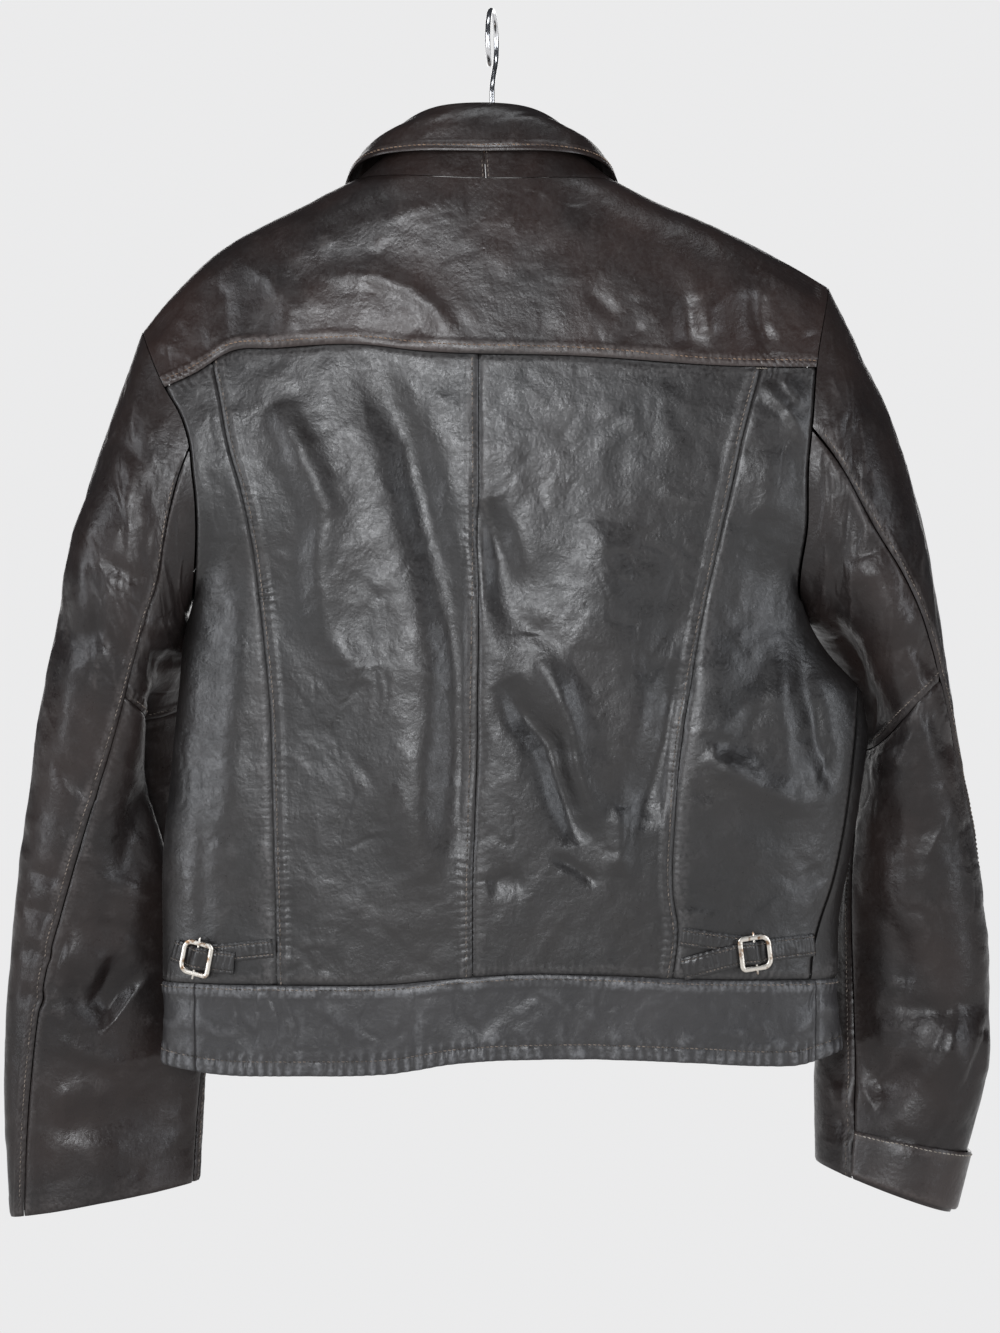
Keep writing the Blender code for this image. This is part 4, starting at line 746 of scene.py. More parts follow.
red_leather = leather("yoke_leather", (0.0125, 0.009, 0.0083), (0.024, 0.0142, 0.012), (0.07, 0.055, 0.05), 0.38)
u, v = grid(300, 84)
points = yoke_surface(u, v)
away = edge_distances(points)
inside = away_from(away, v1=(1, 12), u0=(1, 12), u1=(1, 12))
for side, way in ((LEFT, -1), (RIGHT, 1)):
    points = calmed(points, SHOULDER[side][0][0], 16, inside * faded(way * points[..., 0], 30, 110))
calm = away_from(away, v0=(0, 6), v1=(1, 16), u0=(1, 12), u1=(1, 12))
lift = crumple(points[..., 0], points[..., 2], 3) * calm * 0.9
lift += seam_relief(away["v0"], away["u0"], 60, 0.6, 0.4)
yoke_points = leather_shell("back_yoke_leather", points, lift, outwards_from_torso, red_leather, ["back_yoke"])
stitches("yoke_stitches", [beside_edge(yoke_points, "v0", STITCH_IN)], tan_thread, outwards=outwards_from_torso)
# a pale bar tack where the right princess seam meets the yoke
pale_thread = thread("pale_thread", (0.42, 0.38, 0.33), (0.2, 0.17, 0.14))
line = torso_at(np.linspace(176, 184, 30), np.full(30, -245.5), BACK) + np.array([0, -0.5, 0])
stitches("yoke_tack", [(line, np.tile([0.0, -1.0, 0.0], (30, 1)))], pale_thread, 1.9, 1.8, 0.3)

# ---------------------------------------------------------------------------------------------------------------
# The two fronts: hidden in the photograph and finished plainly. The wearer's left laps over the right. They meet the
# yoke at the shoulder lines, and their edges are topstitched.
FRONT_NECK_DROP = 62  # from the neck points down to the front neckline's middle
OVERLAP = 15  # how far each front reaches past the middle
UNDERLAP = 2.6  # how far the right front's edge is set back
FRONT_MIDDLE = -4


def front_neck(x):
    """The front neckline's height: a quarter ellipse down from each neck point."""
    left, right = SHOULDER[LEFT][-1], SHOULDER[RIGHT][-1]
    share = (x - FRONT_MIDDLE) / np.where(x < FRONT_MIDDLE, left[1] - FRONT_MIDDLE, right[1] - FRONT_MIDDLE)
    top = np.where(x < FRONT_MIDDLE, left[0], right[0])
    return top - FRONT_NECK_DROP * np.sqrt(1 - np.clip(share, 0, 1) ** 2)


def underlapped(points, side):
    """The right front's edge set back under the left front's."""
    if side == LEFT:
        return points
    inset = UNDERLAP * np.clip((FRONT_MIDDLE + OVERLAP + 40 - points[..., 0]) / 22, 0, 1)
    return points - inset[..., None] * np.array([0, 1, 0])


def front_edge_turn(side):
    reach = FRONT_MIDDLE + (OVERLAP if side == LEFT else -OVERLAP)
    return lambda z: turn_at(reach, z, FRONT)


def front_surface(side):
    """One front, from its side seam and armhole, u 0, to its edge past the middle, u 1."""
    reach = FRONT_MIDDLE + (OVERLAP if side == LEFT else -OVERLAP)
    knee, corner = LOW_STEPS / (LOW_STEPS + FRONT_STEPS), 0.42
    start_turn = (lambda z: 2 - SIDE_GAP + 0 * z) if side == LEFT else (lambda z: side_seam_turn(z) + SIDE_GAP)
    below = round_panel(start_turn, front_edge_turn(side), height_of(BAND, FRONT_BAND, SEAM / 2),
                        lambda x, y: LEVEL + 0 * x)

    def above(u, share):
        start = below(u[:, :1], np.ones_like(u[:, :1]))[..., 0]
        line_x, line_z = shoulder_path(side, np.clip(u / corner, 0, 1))
        past = np.clip((u - corner) / (1 - corner), 0, 1)
        neck_x = between(SHOULDER[side][-1][1], reach, 1 - np.cos(past * math.pi / 2))
        top_x = np.where(u < corner, line_x, neck_x)
        top_z = np.where(u < corner, line_z, front_neck(neck_x))
        share = (1 - np.cos(share * math.pi)) / 2
        x, z = between(start, top_x, share), between(LEVEL, top_z, share)
        corner_x = below(np.zeros((1, 1)), np.ones((1, 1)))[0, 0, 0]
        x = x + armhole_bow(side, corner_x, LEVEL, share) * np.cos(np.clip(u / 0.6, 0, 1) * math.pi / 2) ** 2
        return torso_at(x, z, FRONT)

    def surface(u, v):
        points = np.where((v > knee)[..., None], above(u, np.clip((v - knee) / (1 - knee), 0, 1)),
                          below(u, np.clip(v / knee, 0, 1)))
        return underlapped(points, side)

    return surface


front_edges = []
for side in (LEFT, RIGHT):
    u, v = grid(76, 150)
    points = front_surface(side)(u, v)
    away = edge_distances(points)
    calm = away_from(away, v0=(0, 8), v1=(2, 20), u0=(1, 14), u1=(20, 45))
    lift = crumple(points[..., 0], points[..., 2], 71) * calm
    lift += seam_relief(away["v0"], away["u0"], 72, 0, 0.2) - 0.5 * bell(away["u1"], 0, 1.2)
    made_points = leather_shell(f"front_{side}_leather", points, lift, outwards_from_torso, back_leather,
                                [f"front_{side}"])
    front_edges.append(beside_edge(made_points, "u1", 5))
stitches("front_edge_stitches", front_edges, dark_thread, outwards=outwards_from_torso)

# ---------------------------------------------------------------------------------------------------------------
# The waistband: three lengths of the same leather, folded at the hem, greyer and more worn than the rest. A row of
# stitches runs near the hem and gathers its edge into many small puckers.
HEM = [(-224, -713), (-196, -717), (-128, -718), (-68, -716), (-26, -709), (42, -706), (137, -709),
       (182, -712), (206, -712), (238, -704)]
FRONT_HEM = [(-224, -713), (-120, -716), (0, -713), (130, -713), (238, -704)]
BAND_SEAM = {LEFT: -201, RIGHT: 219}
HEM_STITCH, GATHER_PITCH = 10, 7.5
worn_leather = leather("waistband_leather", (0.022, 0.021, 0.022), (0.034, 0.032, 0.033), (0.12, 0.12, 0.125), 0.38)


def band_surface(left, right, side=LEFT):
    """The waistband between two turns."""
    low, high = height_of(HEM, FRONT_HEM, 0), height_of(BAND, FRONT_BAND, -SEAM / 2)
    surface = round_panel(left, right, low, high)
    return lambda u, v: underlapped(surface(u, v), side)


def band_turn(side, shift):
    return lambda z: turn_at(BAND_SEAM[side] + shift + 0 * z, z, BACK)


band_lines = []
for name, first, last, side, columns in (
        ("band_back", band_turn(LEFT, SEAM / 2), band_turn(RIGHT, -SEAM / 2), LEFT, 330),
        ("band_right", band_turn(RIGHT, SEAM / 2), front_edge_turn(RIGHT), RIGHT, 150),
        ("band_left", lambda z: 2 + band_turn(LEFT, -SEAM / 2)(z), front_edge_turn(LEFT), LEFT, 150)):
    u, v = grid(columns, 34)
    points = band_surface(first, last, side)(u, v)
    away = edge_distances(points)
    run = away["u0"]
    lift = 1.5 * crumple(run, away["v0"], 81) * faded(away["v1"], 0, 5)
    lift += seam_relief(away["v1"], run, 82, 0.35, 0.25, 3.2)
    gathers = np.sin(2 * math.pi * run / GATHER_PITCH + 3 * noise(run, 0 * run, 23, 83))
    gathers = gathers * (0.6 + 0.4 * noise(run, 0 * run, 41, 84))
    lift += 0.9 * gathers * (1 - faded(away["v0"], 9, 17)) - 0.5 * bell(away["v0"], HEM_STITCH, 1.1)
    lift += 0.35 * noise(run, away["v0"] * 0.15, 9, 85) * (1 - faded(away["v0"], 14, 30))
    lift -= 0.9 * bell(away["v0"], 0, 1.3)
    lift += seam_relief(away["u0"], away["v0"], 86) + seam_relief(away["u1"], away["v0"], 87)
    made_points = leather_shell(f"{name}_leather", points, lift, outwards_from_torso, worn_leather, [name],
                                slot="worn_leather")
    band_lines += [beside_edge(made_points, "v0", HEM_STITCH), beside_edge(made_points, "v1", 3.0)]
stitches("waistband_stitches", band_lines, dark_thread, outwards=outwards_from_torso)

# ---------------------------------------------------------------------------------------------------------------
# The collar: a stand in two halves, seamed at the centre back, and a fall that rolls over it and lies down on the
# yoke. The fall's edge is two layers thick and is topstitched with tan thread.
COLLAR_MIDDLE, COLLAR_END = -7, 173
# The roll line and the free edge, as degrees from the centre back, half width, y and height.
ROLL = [(0, 0, -36, -66.5), (30, 31, -33, -69), (60, 53, -20, -78), (90, 66, 3, -91), (120, 62, 29, -114),
        (150, 38, 46, -142), (180, 0, 53, -158)]
EDGE = [(0, 0, -50, -101), (30, 46, -47, -100.5), (60, 76, -32, -103), (90, 91, 2, -110), (120, 96, 40, -132),
        (150, 86, 63, -178), (180, 58, 68, -222)]
STAND_DROP, LEG = 7, 1.6  # the stand's seam lies this far below the roll line and inside it
NECK_GAP = (0.6, 2.0)  # between neckline and stand, behind and in front
COLLAR_STITCH = 2.6


def ring(rows, degrees, middle):
    """A collar ring's points, by degrees from the centre back. The two sides mirror each other."""
    before = rows[1]
    mirrored = [(-before[0], -before[1], before[2], before[3]), *rows]
    width, y, z = (smooth([(row[0], row[k]) for row in mirrored], np.abs(degrees)) for k in (1, 2, 3))
    return np.stack([middle + np.sign(degrees) * width, y, z], -1)


def neckline(degrees):
    """The neckline's outer points, behind and in front."""
    left, right = SHOULDER[LEFT][-1][1], SHOULDER[RIGHT][-1][1]
    share = np.abs(np.sin(np.radians(degrees)))
    x = FRONT_MIDDLE + np.where(degrees < 0, left - FRONT_MIDDLE, right - FRONT_MIDDLE) * share
    return np.where((np.abs(degrees) <= 90)[..., None], torso_at(x, smooth(NECK_BACK, x), BACK),
                    torso_at(x, front_neck(x), FRONT))


def collar_frame(degrees):
    """Outwards and upwards at the roll line, both square to it."""
    e = 0.5
    way = unit(ring(ROLL, degrees + e, COLLAR_MIDDLE) - ring(ROLL, degrees - e, COLLAR_MIDDLE))
    up = unit(np.array([0, 0, 1.0]) - way * way[..., 2:])
    return np.cross(way, up), up


def stand_surface(turns):
    """The collar stand, from the neckline up to its seam under the roll. turns gives degrees by share."""

    def surface(u, v):
        turn = between(turns[0], turns[1], u)
        out, up = collar_frame(turn)
        top = ring(ROLL, turn, COLLAR_MIDDLE) - out * (LEG + 0.1) - up * (STAND_DROP + SEAM)
        low = neckline(turn)
        gap = between(NECK_GAP[0], NECK_GAP[1], np.clip((abs(turn) - 80) / 20, 0, 1))[..., None]
        return between(low + unit(top - low) * gap, top, v[..., None])

    return surface


def blend_keys(places, values, at):
    """A smooth curve through arrays of values at the given places, evaluated point by point."""
    values, places = np.stack(values), np.array(places, float)
    slope = np.gradient(values, places, axis=0)
    i = np.clip(np.searchsorted(places, at) - 1, 0, len(places) - 2)
    step = places[i + 1] - places[i]
    ends = (np.take_along_axis(table, (i + k)[None], 0)[0] for table in (values, slope) for k in (0, 1))
    return cubic((at - places[i]) / step, step, *ends)


def fall_surface(u, v):
    """The collar fall: up a short inner leg, over the roll, and down to the free edge."""
    turn = between(-COLLAR_END, COLLAR_END, u)
    roll, edge = ring(ROLL, turn, COLLAR_MIDDLE), ring(EDGE, turn, COLLAR_MIDDLE)
    out, up = collar_frame(turn)
    crown = between(roll, edge, 0.5) + out * 3.5 + up * 3
    keys = [roll - out * LEG - up * STAND_DROP, roll - out * 1.2 - up * 2, roll, roll + out * 3.2 - up * 2.2, crown,
            edge]
    places = (0, 0.14, 0.26, 0.38, 0.7, 1)
    return np.stack([blend_keys(places, [k[..., axis] for k in keys], v) for axis in range(3)], -1)


def outwards_from_neck(points):
    return (points - np.array([COLLAR_MIDDLE, 5, 0])) * np.array([1, 1, 0])


stand_lines = []
for side, turns in ((LEFT, (-COLLAR_END, -0.1)), (RIGHT, (0.1, COLLAR_END))):
    u, v = grid(130, 16)
    points = stand_surface(turns)(u, v)
    away = edge_distances(points)
    inner_end = "u1" if side == LEFT else "u0"
    lift = 0.25 * noise(away["u0"], away["v0"], 14, 91) * faded(away["v0"], 0, 4) * faded(away["v1"], 1, 5)
    lift -= 0.4 * bell(away[inner_end], 0, 1.0)
    made_points = leather_shell(f"collar_stand_{side}_leather", points, lift, outwards_from_neck, red_leather,
                                [f"collar_stand_{side}"])
    stand_lines.append(beside_edge(made_points, inner_end, 1.6))
u, v = grid(300, 72)
points = fall_surface(u, v)
away = edge_distances(points)
past_roll = faded(v, 0.3, 0.5)
lift = 0.9 * crumple(away["u0"] * 0.7, away["v1"], 92) * (faded(away["v1"], 0, 9) * past_roll)
lift += 0.55 * (1 - faded(away["v1"], 5.5, 8)) * past_roll - 0.4 * bell(away["v1"], COLLAR_STITCH, 0.8)
lift -= 0.6 * bell(away["v1"], 0, 0.8)
fall_points = leather_shell("collar_fall_leather", points, lift,
                            lambda p: outwards_from_neck(p) * (v > 0.5)[..., None], red_leather, ["collar_fall"])
stitches("collar_stitches", [beside_edge(fall_points, edge, COLLAR_STITCH, first)
                             for edge, first in (("v1", 0.0), ("u0", 0.5), ("u1", 0.5))],
         tan_thread, outwards=outwards_from_neck)
stitches("stand_seam_stitches", stand_lines, dark_thread, radius=0.28, outwards=outwards_from_neck)

# ---------------------------------------------------------------------------------------------------------------
# The sleeves: each a top sleeve and an under-sleeve, which is pieced across above the elbow. They hang bent and
# twisted, so that the seams wander over the back view, and the leather is creased at the elbow and the armpit.
# Rows down the sleeve: the outer edge's x and z, the inner edge's x and z, the middle's y, the lean and half depth.
SLEEVE = {
    LEFT: [(-237, -217, -203, -400, 0, 0, 46), (-254, -262, -211, -420, 3, 0, 53),
           (-274, -323, -219, -450, 9, -5, 59), (-291, -385, -221, -487, 17, -10, 60),
           (-304, -450, -217, -528, 26, -14, 56), (-315, -518, -208, -578, 33, -18, 50),
           (-325, -590, -200, -628, 38, -21, 44), (-332, -662, -197, -682, 40, -21, 38),
           (-335, -735, -200, -738, 39, -18, 33), (-331, -821, -203, -800, 36, -14, 30)],
    RIGHT: [(228, -187, 209, -400, 0, 0, 46), (249, -229, 221, -413, 3, 0, 54), (274, -283, 236, -433, 9, -4, 60),
            (294, -353, 249, -462, 17, -8, 63), (308, -430, 253, -500, 26, -12, 62),
            (320, -508, 248, -548, 34, -16, 56), (334, -582, 238, -602, 40, -18, 50),
            (341, -655, 230, -662, 42, -18, 44), (339, -722, 225, -718, 40, -15, 41),
            (316, -818, 224, -786, 34, -10, 38)],
}
# Seams, in degrees round the sleeve from its outer edge by way of the back, from the armhole to the cuff.
BACK_SEAM = {LEFT: (84, 119, 120, 112, 98, 80, 65, 52, 45, 34), RIGHT: (86, 87, 87, 72, 47, 22, 5, -5, -9, -12)}
FRONT_SEAM = {LEFT: (228, 218, 208, 198, 190, 183, 176, 170, 165, 162),
              RIGHT: (228, 214, 200, 186, 172, 160, 146, 134, 127, 123)}
PIECING = {LEFT: (0.362, 0.30), RIGHT: (0.465, 0.45)}  # the under-sleeve's cross seam, by share of the length
TUCK = {LEFT: (15, 0.05), RIGHT: (16, 0.0)}  # how far a sleeve's front reaches behind the torso, and from where
HOLLOW = {LEFT: (0.2, 0.66, 0.56), RIGHT: (0.1, 0.42, 0.42)}  # where each inner side is folded in, and how far
SLEEVE_GAP, PIECE_GAP, ARM_EASE = 0.3, 0.0003, 0.4  # degrees, share of the length, and mm at the armhole
UPPER_STEPS, LOWER_STEPS = 9, 12  # the sleeve's rows in the model, above and below the piecing
SLEEVE_FOLDS = {
    LEFT: [(-14, 15, [(-206, -436), (-220, -490), (-235, -540), (-250, -590)]),
           (-13, 17, [(-270, -655), (-248, -672)]), (5, 14, [(-292, -640), (-262, -648)]),
           (-5, 15, [(-300, -390), (-270, -440)]),
           (5, 20, [(-280, -330), (-290, -420)]), (-4, 14, [(-290, -742), (-215, -752)])],
    RIGHT: [(-14, 15, [(222, -428), (245, -462), (268, -500)]), (5, 22, [(250, -370), (275, -430)]),
            (6, 26, [(300, -700), (325, -712)]), (-6, 16, [(255, -735), (290, -716)]),
            (-5, 20, [(265, -540), (300, -560)])],
}
SLEEVE_CREASES = {
    LEFT: [(2.5, 5, [(-233, -414), (-221, -419), (-211, -414)]),
           (2.5, 5, [(-234, -430), (-223, -433), (-213, -430)]), (-4, 8, [(-230, -440), (-216, -441)]),
           (2.5, 5, [(-233, -460), (-218, -455)]),
           (-2, 6, [(-259, -372), (-233, -389)]), (-2.5, 7, [(-271, -413), (-243, -440)]),
           (-5, 9, [(-293, -661), (-274, -672), (-258, -685)]), (3, 10, [(-301, -740), (-281, -737), (-257, -740)]),
           (-2.5, 8, [(-305, -757), (-274, -760), (-233, -753)]), (2, 6, [(-294, -699), (-260, -714), (-226, -711)]),
           (-2, 6, [(-267, -617), (-233, -631)]), (2.5, 12, [(-247, -583), (-243, -672)]),
           (-2, 5, [(-315, -582), (-294, -590)]), (-2, 5, [(-318, -607), (-297, -614)]),
           (-2, 5, [(-319, -634), (-300, -643)]), (-2, 5, [(-322, -665), (-303, -672)]),
           (-2.5, 7, [(-254, -283), (-233, -310), (-223, -344)]),
           (2.5, 10, [(-267, -310), (-277, -399), (-293, -508)]),
           (-2, 6, [(-294, -508), (-267, -535)]), (-2, 7, [(-254, -774), (-213, -760)])],
    RIGHT: [(-6, 9, [(214, -407), (241, -443), (273, -496)]), (3, 12, [(244, -372), (264, -426)]),
            (-2, 7, [(234, -331), (244, -372)]), (-2.5, 8, [(264, -508), (271, -576)]),
            (2.5, 14, [(281, -522), (288, -644)]), (4, 22, [(281, -695), (305, -713), (329, -753)]),
            (-3, 8, [(264, -672), (298, -678), (336, -672)]), (-3, 7, [(259, -603), (278, -631), (281, -672)]),
            (3, 8, [(336, -692), (339, -726)]), (2.5, 5, [(239, -730), (241, -747)]),
            (-3, 5, [(236, -753), (245, -767)]), (2, 5, [(241, -767), (244, -781)]),
            (-2, 6, [(271, -760), (298, -774)]), (-2.5, 7, [(288, -467), (312, -508)]),
            (-2, 6, [(278, -426), (302, -454)]), (-2.5, 8, [(256, -699), (264, -740)])],
}
# Creases of the sleeves' hidden front halves, much as behind.
FRONT_CREASES = {
    LEFT: [(-4, 9, [(-212, -440), (-250, -470), (-280, -480)]), (-3, 8, [(-215, -470), (-260, -510), (-300, -520)]),
           (3, 10, [(-240, -560), (-290, -600)]), (-3.5, 9, [(-215, -600), (-260, -590), (-310, -560)]),
           (-3, 8, [(-220, -690), (-280, -700), (-325, -690)])],
    RIGHT: [(-4, 9, [(225, -430), (260, -455), (300, -460)]), (-3, 8, [(240, -470), (280, -500), (315, -510)]),
            (3, 10, [(270, -560), (310, -600)]), (-3.5, 9, [(240, -600), (280, -590), (330, -570)]),
            (-3, 8, [(235, -700), (290, -705), (335, -690)])],
}


def rows_at(rows, at):
    """Each column of a table at 'at', which runs from 0 at its first row to 1 at its last."""
    table = np.array(rows, float)
    place = np.linspace(0, 1, len(table))
    return [smooth(list(zip(place, column)), at) for column in table.T]


def cap_bow(side, c):
    """How far an armhole's edge lies from the straight line between shoulder point and armpit."""
    top_x, top_z, low_x, low_z = SLEEVE[side][0][:4]
    z = (top_z + low_z) / 2 + (top_z - low_z) / 2 * c
    chord = (top_x + low_x) / 2 + (top_x - low_x) / 2 * c
    return smooth(SIDE[side], np.clip(z, LEVEL, SHOULDER[side][0][0])) - chord


def sleeve_surface(side):
    """A sleeve by share of its length and degrees round from its outer edge by way of the back: a leaning oval."""
    outwards = -1 if side == LEFT else 1

    def surface(s, degrees):
        turn = np.radians(degrees)
        ox, oz, ix, iz, middle, lean, depth = rows_at(SLEEVE[side], s)
        c, d = np.cos(turn), np.sin(turn)
        cx, z = (ox + ix) / 2, (oz + iz) / 2 + (oz - iz) / 2 * c
        fade = np.clip(1 - s / 0.14, 0, 1) ** 2
        reach, start = TUCK[side]
        below = np.clip((s - start) / 0.11, 0, 1) * np.clip((0.62 - s) / 0.2, 0, 1)
        tuck = outwards * reach * bell(degrees, 208, 28) * below
        x = cx + (ox - ix) / 2 * c + cap_bow(side, c) * fade - tuck
        behind = crease_height(SLEEVE_FOLDS[side], x, z, 0.8) + crease_height(SLEEVE_CREASES[side], x, z, 0.85)
        before = crease_height(FRONT_CREASES[side], x, z)
        fold = behind * np.clip(d * 2.2, 0, 1) + before * np.clip(-d * 2 - 0.2, 0, 1)
        fold = fold * np.clip(s / 0.1, 0, 1) * np.clip((1 - s) / 0.06, 0, 1)
        grow = 1 + fold / np.hypot(np.maximum(abs(ox - ix) / 2, 30) * c, depth * d)
        low, high, share = HOLLOW[side]
        hollow = faded(s, low, low + 0.1) * (1 - faded(s, high - 0.16, high))
        grow = grow * (1 - share * hollow * bell(degrees, 168, 20))
        ease = outwards * (SEAM / 2 + ARM_EASE) * fade
        return np.stack([cx + (x - cx) * grow + ease, middle + (lean * c - depth * d) * grow, z], -1)

    return surface


def seam_degrees(table, way, turn=0):
    """A sleeve seam's place round the sleeve by length, half a gap to one side. The gap is wider at the armhole."""
    places = list(zip(np.linspace(0, 1, len(table)), table))
    return lambda s: smooth(places, s) + turn + way * (SLEEVE_GAP + 0.5 * np.clip(1 - s / 0.1, 0, 1))


sleeve_leather = leather("sleeve_leather", (0.0115, 0.009, 0.0087), (0.021, 0.0145, 0.013), (0.06, 0.052, 0.05),
                         0.37, coat=0.08, shine=0.34)
sleeve_points = {}
for side in (LEFT, RIGHT):
    behind, before = PIECING[side]
    knee = UPPER_STEPS / (UPPER_STEPS + LOWER_STEPS)
    under = (seam_degrees(BACK_SEAM[side], 1), seam_degrees(FRONT_SEAM[side], -1))
    over = (seam_degrees(FRONT_SEAM[side], 1), seam_degrees(BACK_SEAM[side], -1, 360))
    shape = sleeve_surface(side)
    for part, ends, columns, rows in (("top", over, 130, 300), ("under_upper", under, 96, 120),
                                      ("under_lower", under, 84, 170)):
        u, v = grid(columns, rows)
        if part == "top":
            at = between(before, behind, u)
            s = at * np.clip(v / knee, 0, 1) + (1 - at) * np.clip((v - knee) / (1 - knee), 0, 1)
        elif part == "under_upper":
            s = (between(behind, before, u) - PIECE_GAP) * v
        else:
            s = between(between(behind, before, u) + PIECE_GAP, 1, v)
        points = shape(s, between(ends[0](s), ends[1](s), u))
        away = edge_distances(points)
        run = away["v0"] + (0 if part != "under_lower" else 300)
        ox, oz, ix, iz, middle, _, _ = rows_at(SLEEVE[side], s)
        axis = np.stack([(ox + ix) / 2, middle, (oz + iz) / 2], -1)
        calm = faded(s, 0, 0.06) * faded(away["u0"], 0, 5) * faded(away["u1"], 0, 5)
        lift = 1.15 * crumple(away["u0"] + (0 if part == "top" else 400), 600 * s, 101 + (side == RIGHT)) * calm
        # both long seams are stitched on the top sleeve's side
        for edge, seed, band, pucker in (("u0", 103, 0.4, 0.35), ("u1", 104, 0.5, 0.5)):
            band, pucker = (band, pucker) if part == "top" else (0, FLAT_PUCKER)
            lift += seam_relief(away[edge], run, seed, band, pucker) * faded(s, 0, 0.04)
        if part == "under_upper":
            lift += seam_relief(away["v1"], away["u0"], 105, 0.4, 0.2)
        if part == "under_lower":
            lift += seam_relief(away["v0"], away["u0"], 106)
        if part != "under_upper":
            lift -= 0.8 * bell(away["v1"], 0, 1.2)
            lift += 0.28 * (1 - faded(away["v1"], 16, 19)) - 0.28 * bell(away["v1"], 15, 1)
        node = f"sleeve_{side}_{part}"
        sleeve_points[side, part] = leather_shell(f"{node}_leather", points, lift, lambda p: p - axis,
                                                  sleeve_leather, [node])


def outwards_from_sleeve(side):
    """Roughly outwards from a sleeve's middle line, by height."""
    table = SLEEVE[side]
    heights = [((row[1] + row[3]) / 2, (row[0] + row[2]) / 2, row[4]) for row in table]

    def outwards(points):
        z = points[..., 2]
        return np.stack([points[..., 0] - smooth([(h[0], h[1]) for h in heights], z),
                         points[..., 1] - smooth([(h[0], h[2]) for h in heights], z), 0 * z], -1)

    return outwards


for side in (LEFT, RIGHT):
    top = sleeve_points[side, "top"]
    lines = [beside_edge(top, "u1", STITCH_IN, 0.03), beside_edge(top, "u0", STITCH_IN, 0.03),
             beside_edge(sleeve_points[side, "under_upper"], "v1", STITCH_IN)]
    stitches(f"sleeve_{side}_stitches", lines, dark_thread, outwards=outwards_from_sleeve(side))

# ---------------------------------------------------------------------------------------------------------------
# The right cuff's turn-up: the sleeve's end folded up on its outer side, so a second layer of leather over the
# first. Pale stitches run along its upper edge.
TURNUP_START, TURNUP_END = 0.953, 0.997  # by share of the sleeve's length
TURNUP_GAP, TURNUP_WALL = 0.6, 2.4
EDGE_STITCH = 2.2  # an edge's stitches lie this far from it
shape = sleeve_surface(RIGHT)
first_turn = np.linspace(FRONT_SEAM[RIGHT][-1], BACK_SEAM[RIGHT][-1] + 360, 13)[-4] - 360
u, v = grid(150, 22)
degrees = between(first_turn, FRONT_SEAM[RIGHT][-1] - 0.6, u)
points = shape(between(TURNUP_START, TURNUP_END, v), degrees)
cuff_middle = np.array([270, 34, -800.0])
facing = grid_normals(points)
facing = facing * np.sign((facing * (points - cuff_middle)).sum())
points = points + facing * (TURNUP_GAP + TURNUP_WALL)
away = edge_distances(points)
lift = 0.4 * crumple(away["u0"], away["v0"], 111) * away_from(away, v0=(1, 6), v1=(1, 6))
for edge in ("u0", "u1", "v0", "v1"):
    lift -= 0.9 * bell(away[edge], 0, 1.0)
cuff_points = leather_shell("cuff_right_turnup_leather", points, lift, lambda p: p - cuff_middle, red_leather,
                            ["cuff_right_turnup"],
                            wall=TURNUP_WALL - 0.6)
stitches("cuff_edge_stitches", [beside_edge(cuff_points, "v0", EDGE_STITCH)], pale_thread,
         outwards=lambda p: p - cuff_middle)

# ---------------------------------------------------------------------------------------------------------------
# The side adjusters: a stitched strap from the side, a short anchor that holds the buckle, and a nickel
# slide buckle with its pin, tarnished brown in places.
STRAP_WALL = 1.4
STRAPS = {
    RIGHT: dict(strap=[(217, -631), (187, -633.5), (164, -636.5), (127, -646)], strap_width=15,
                anchor=[(126, -624), (178, -632)], anchor_width=12.5, pin=175.0),
    LEFT: dict(strap=[(-214, -635), (-203, -638), (-190, -641), (-172, -642.5)], strap_width=15,
               anchor=[(-146, -632), (-199, -638)], anchor_width=12.5, pin=-196.5),
}
BUCKLE_LENGTH, BUCKLE_WIDTH, BUCKLE_BAR, BUCKLE_THICK = 23, 24, 3.4, 2.0
PIN_RADIUS, PIN_REACH, BUCKLE_HEIGHT = 0.85, 2.5, 4.0


def back_point(x, z):
    """The back's outer point, and its outward normal from the points half a millimetre round it."""
    e = 0.5
    right_left = torso_at(x + e, z, BACK) - torso_at(x - e, z, BACK)
    n = unit(np.cross(right_left, torso_at(x, z + e, BACK) - torso_at(x, z - e, BACK)))
    return torso_at(x, z, BACK), n * np.where(n[..., 1:2] > 0, -1, 1)


def path(points, share):
    """A place along a polyline of (x, z) points, by share of its length."""
    p = np.array(points, float)
    along = lengths(p)
    at = share * along[-1]
    return np.interp(at, along, p[:, 0]), np.interp(at, along, p[:, 1])


def strap_points(route, width, u, v):
    """A strap's points on the panel by share of its length and width, with the panel's normals."""
    x, z = path(route, u)
    x1, z1 = path(route, np.clip(u + 0.03, 0, 1))
    x0, z0 = path(route, np.clip(u - 0.03, 0, 1))
    along = unit(np.stack([x1 - x0, z1 - z0], -1))
    aside = (v - 0.5) * width
    points, n = back_point(x - along[..., 1] * aside, z + along[..., 0] * aside)
    return points, n, x


def strap_lift(side, x):
    """Strap height above the panel: over the anchor, higher over the pin, and down on the panel past both."""
    away = (x - STRAPS[side]["pin"]) * (1 if side == RIGHT else -1)
    low, over_anchor, over_pin = 0.3, 2.0, BUCKLE_HEIGHT + BUCKLE_THICK / 2 + PIN_RADIUS + 0.4
    near = np.clip((24 - away) / 12, 0, 1) * np.clip((away + 46) / 12, 0, 1)
    return low + (over_anchor - low) * near + (over_pin - over_anchor) * bell(away, 0, 4.4)


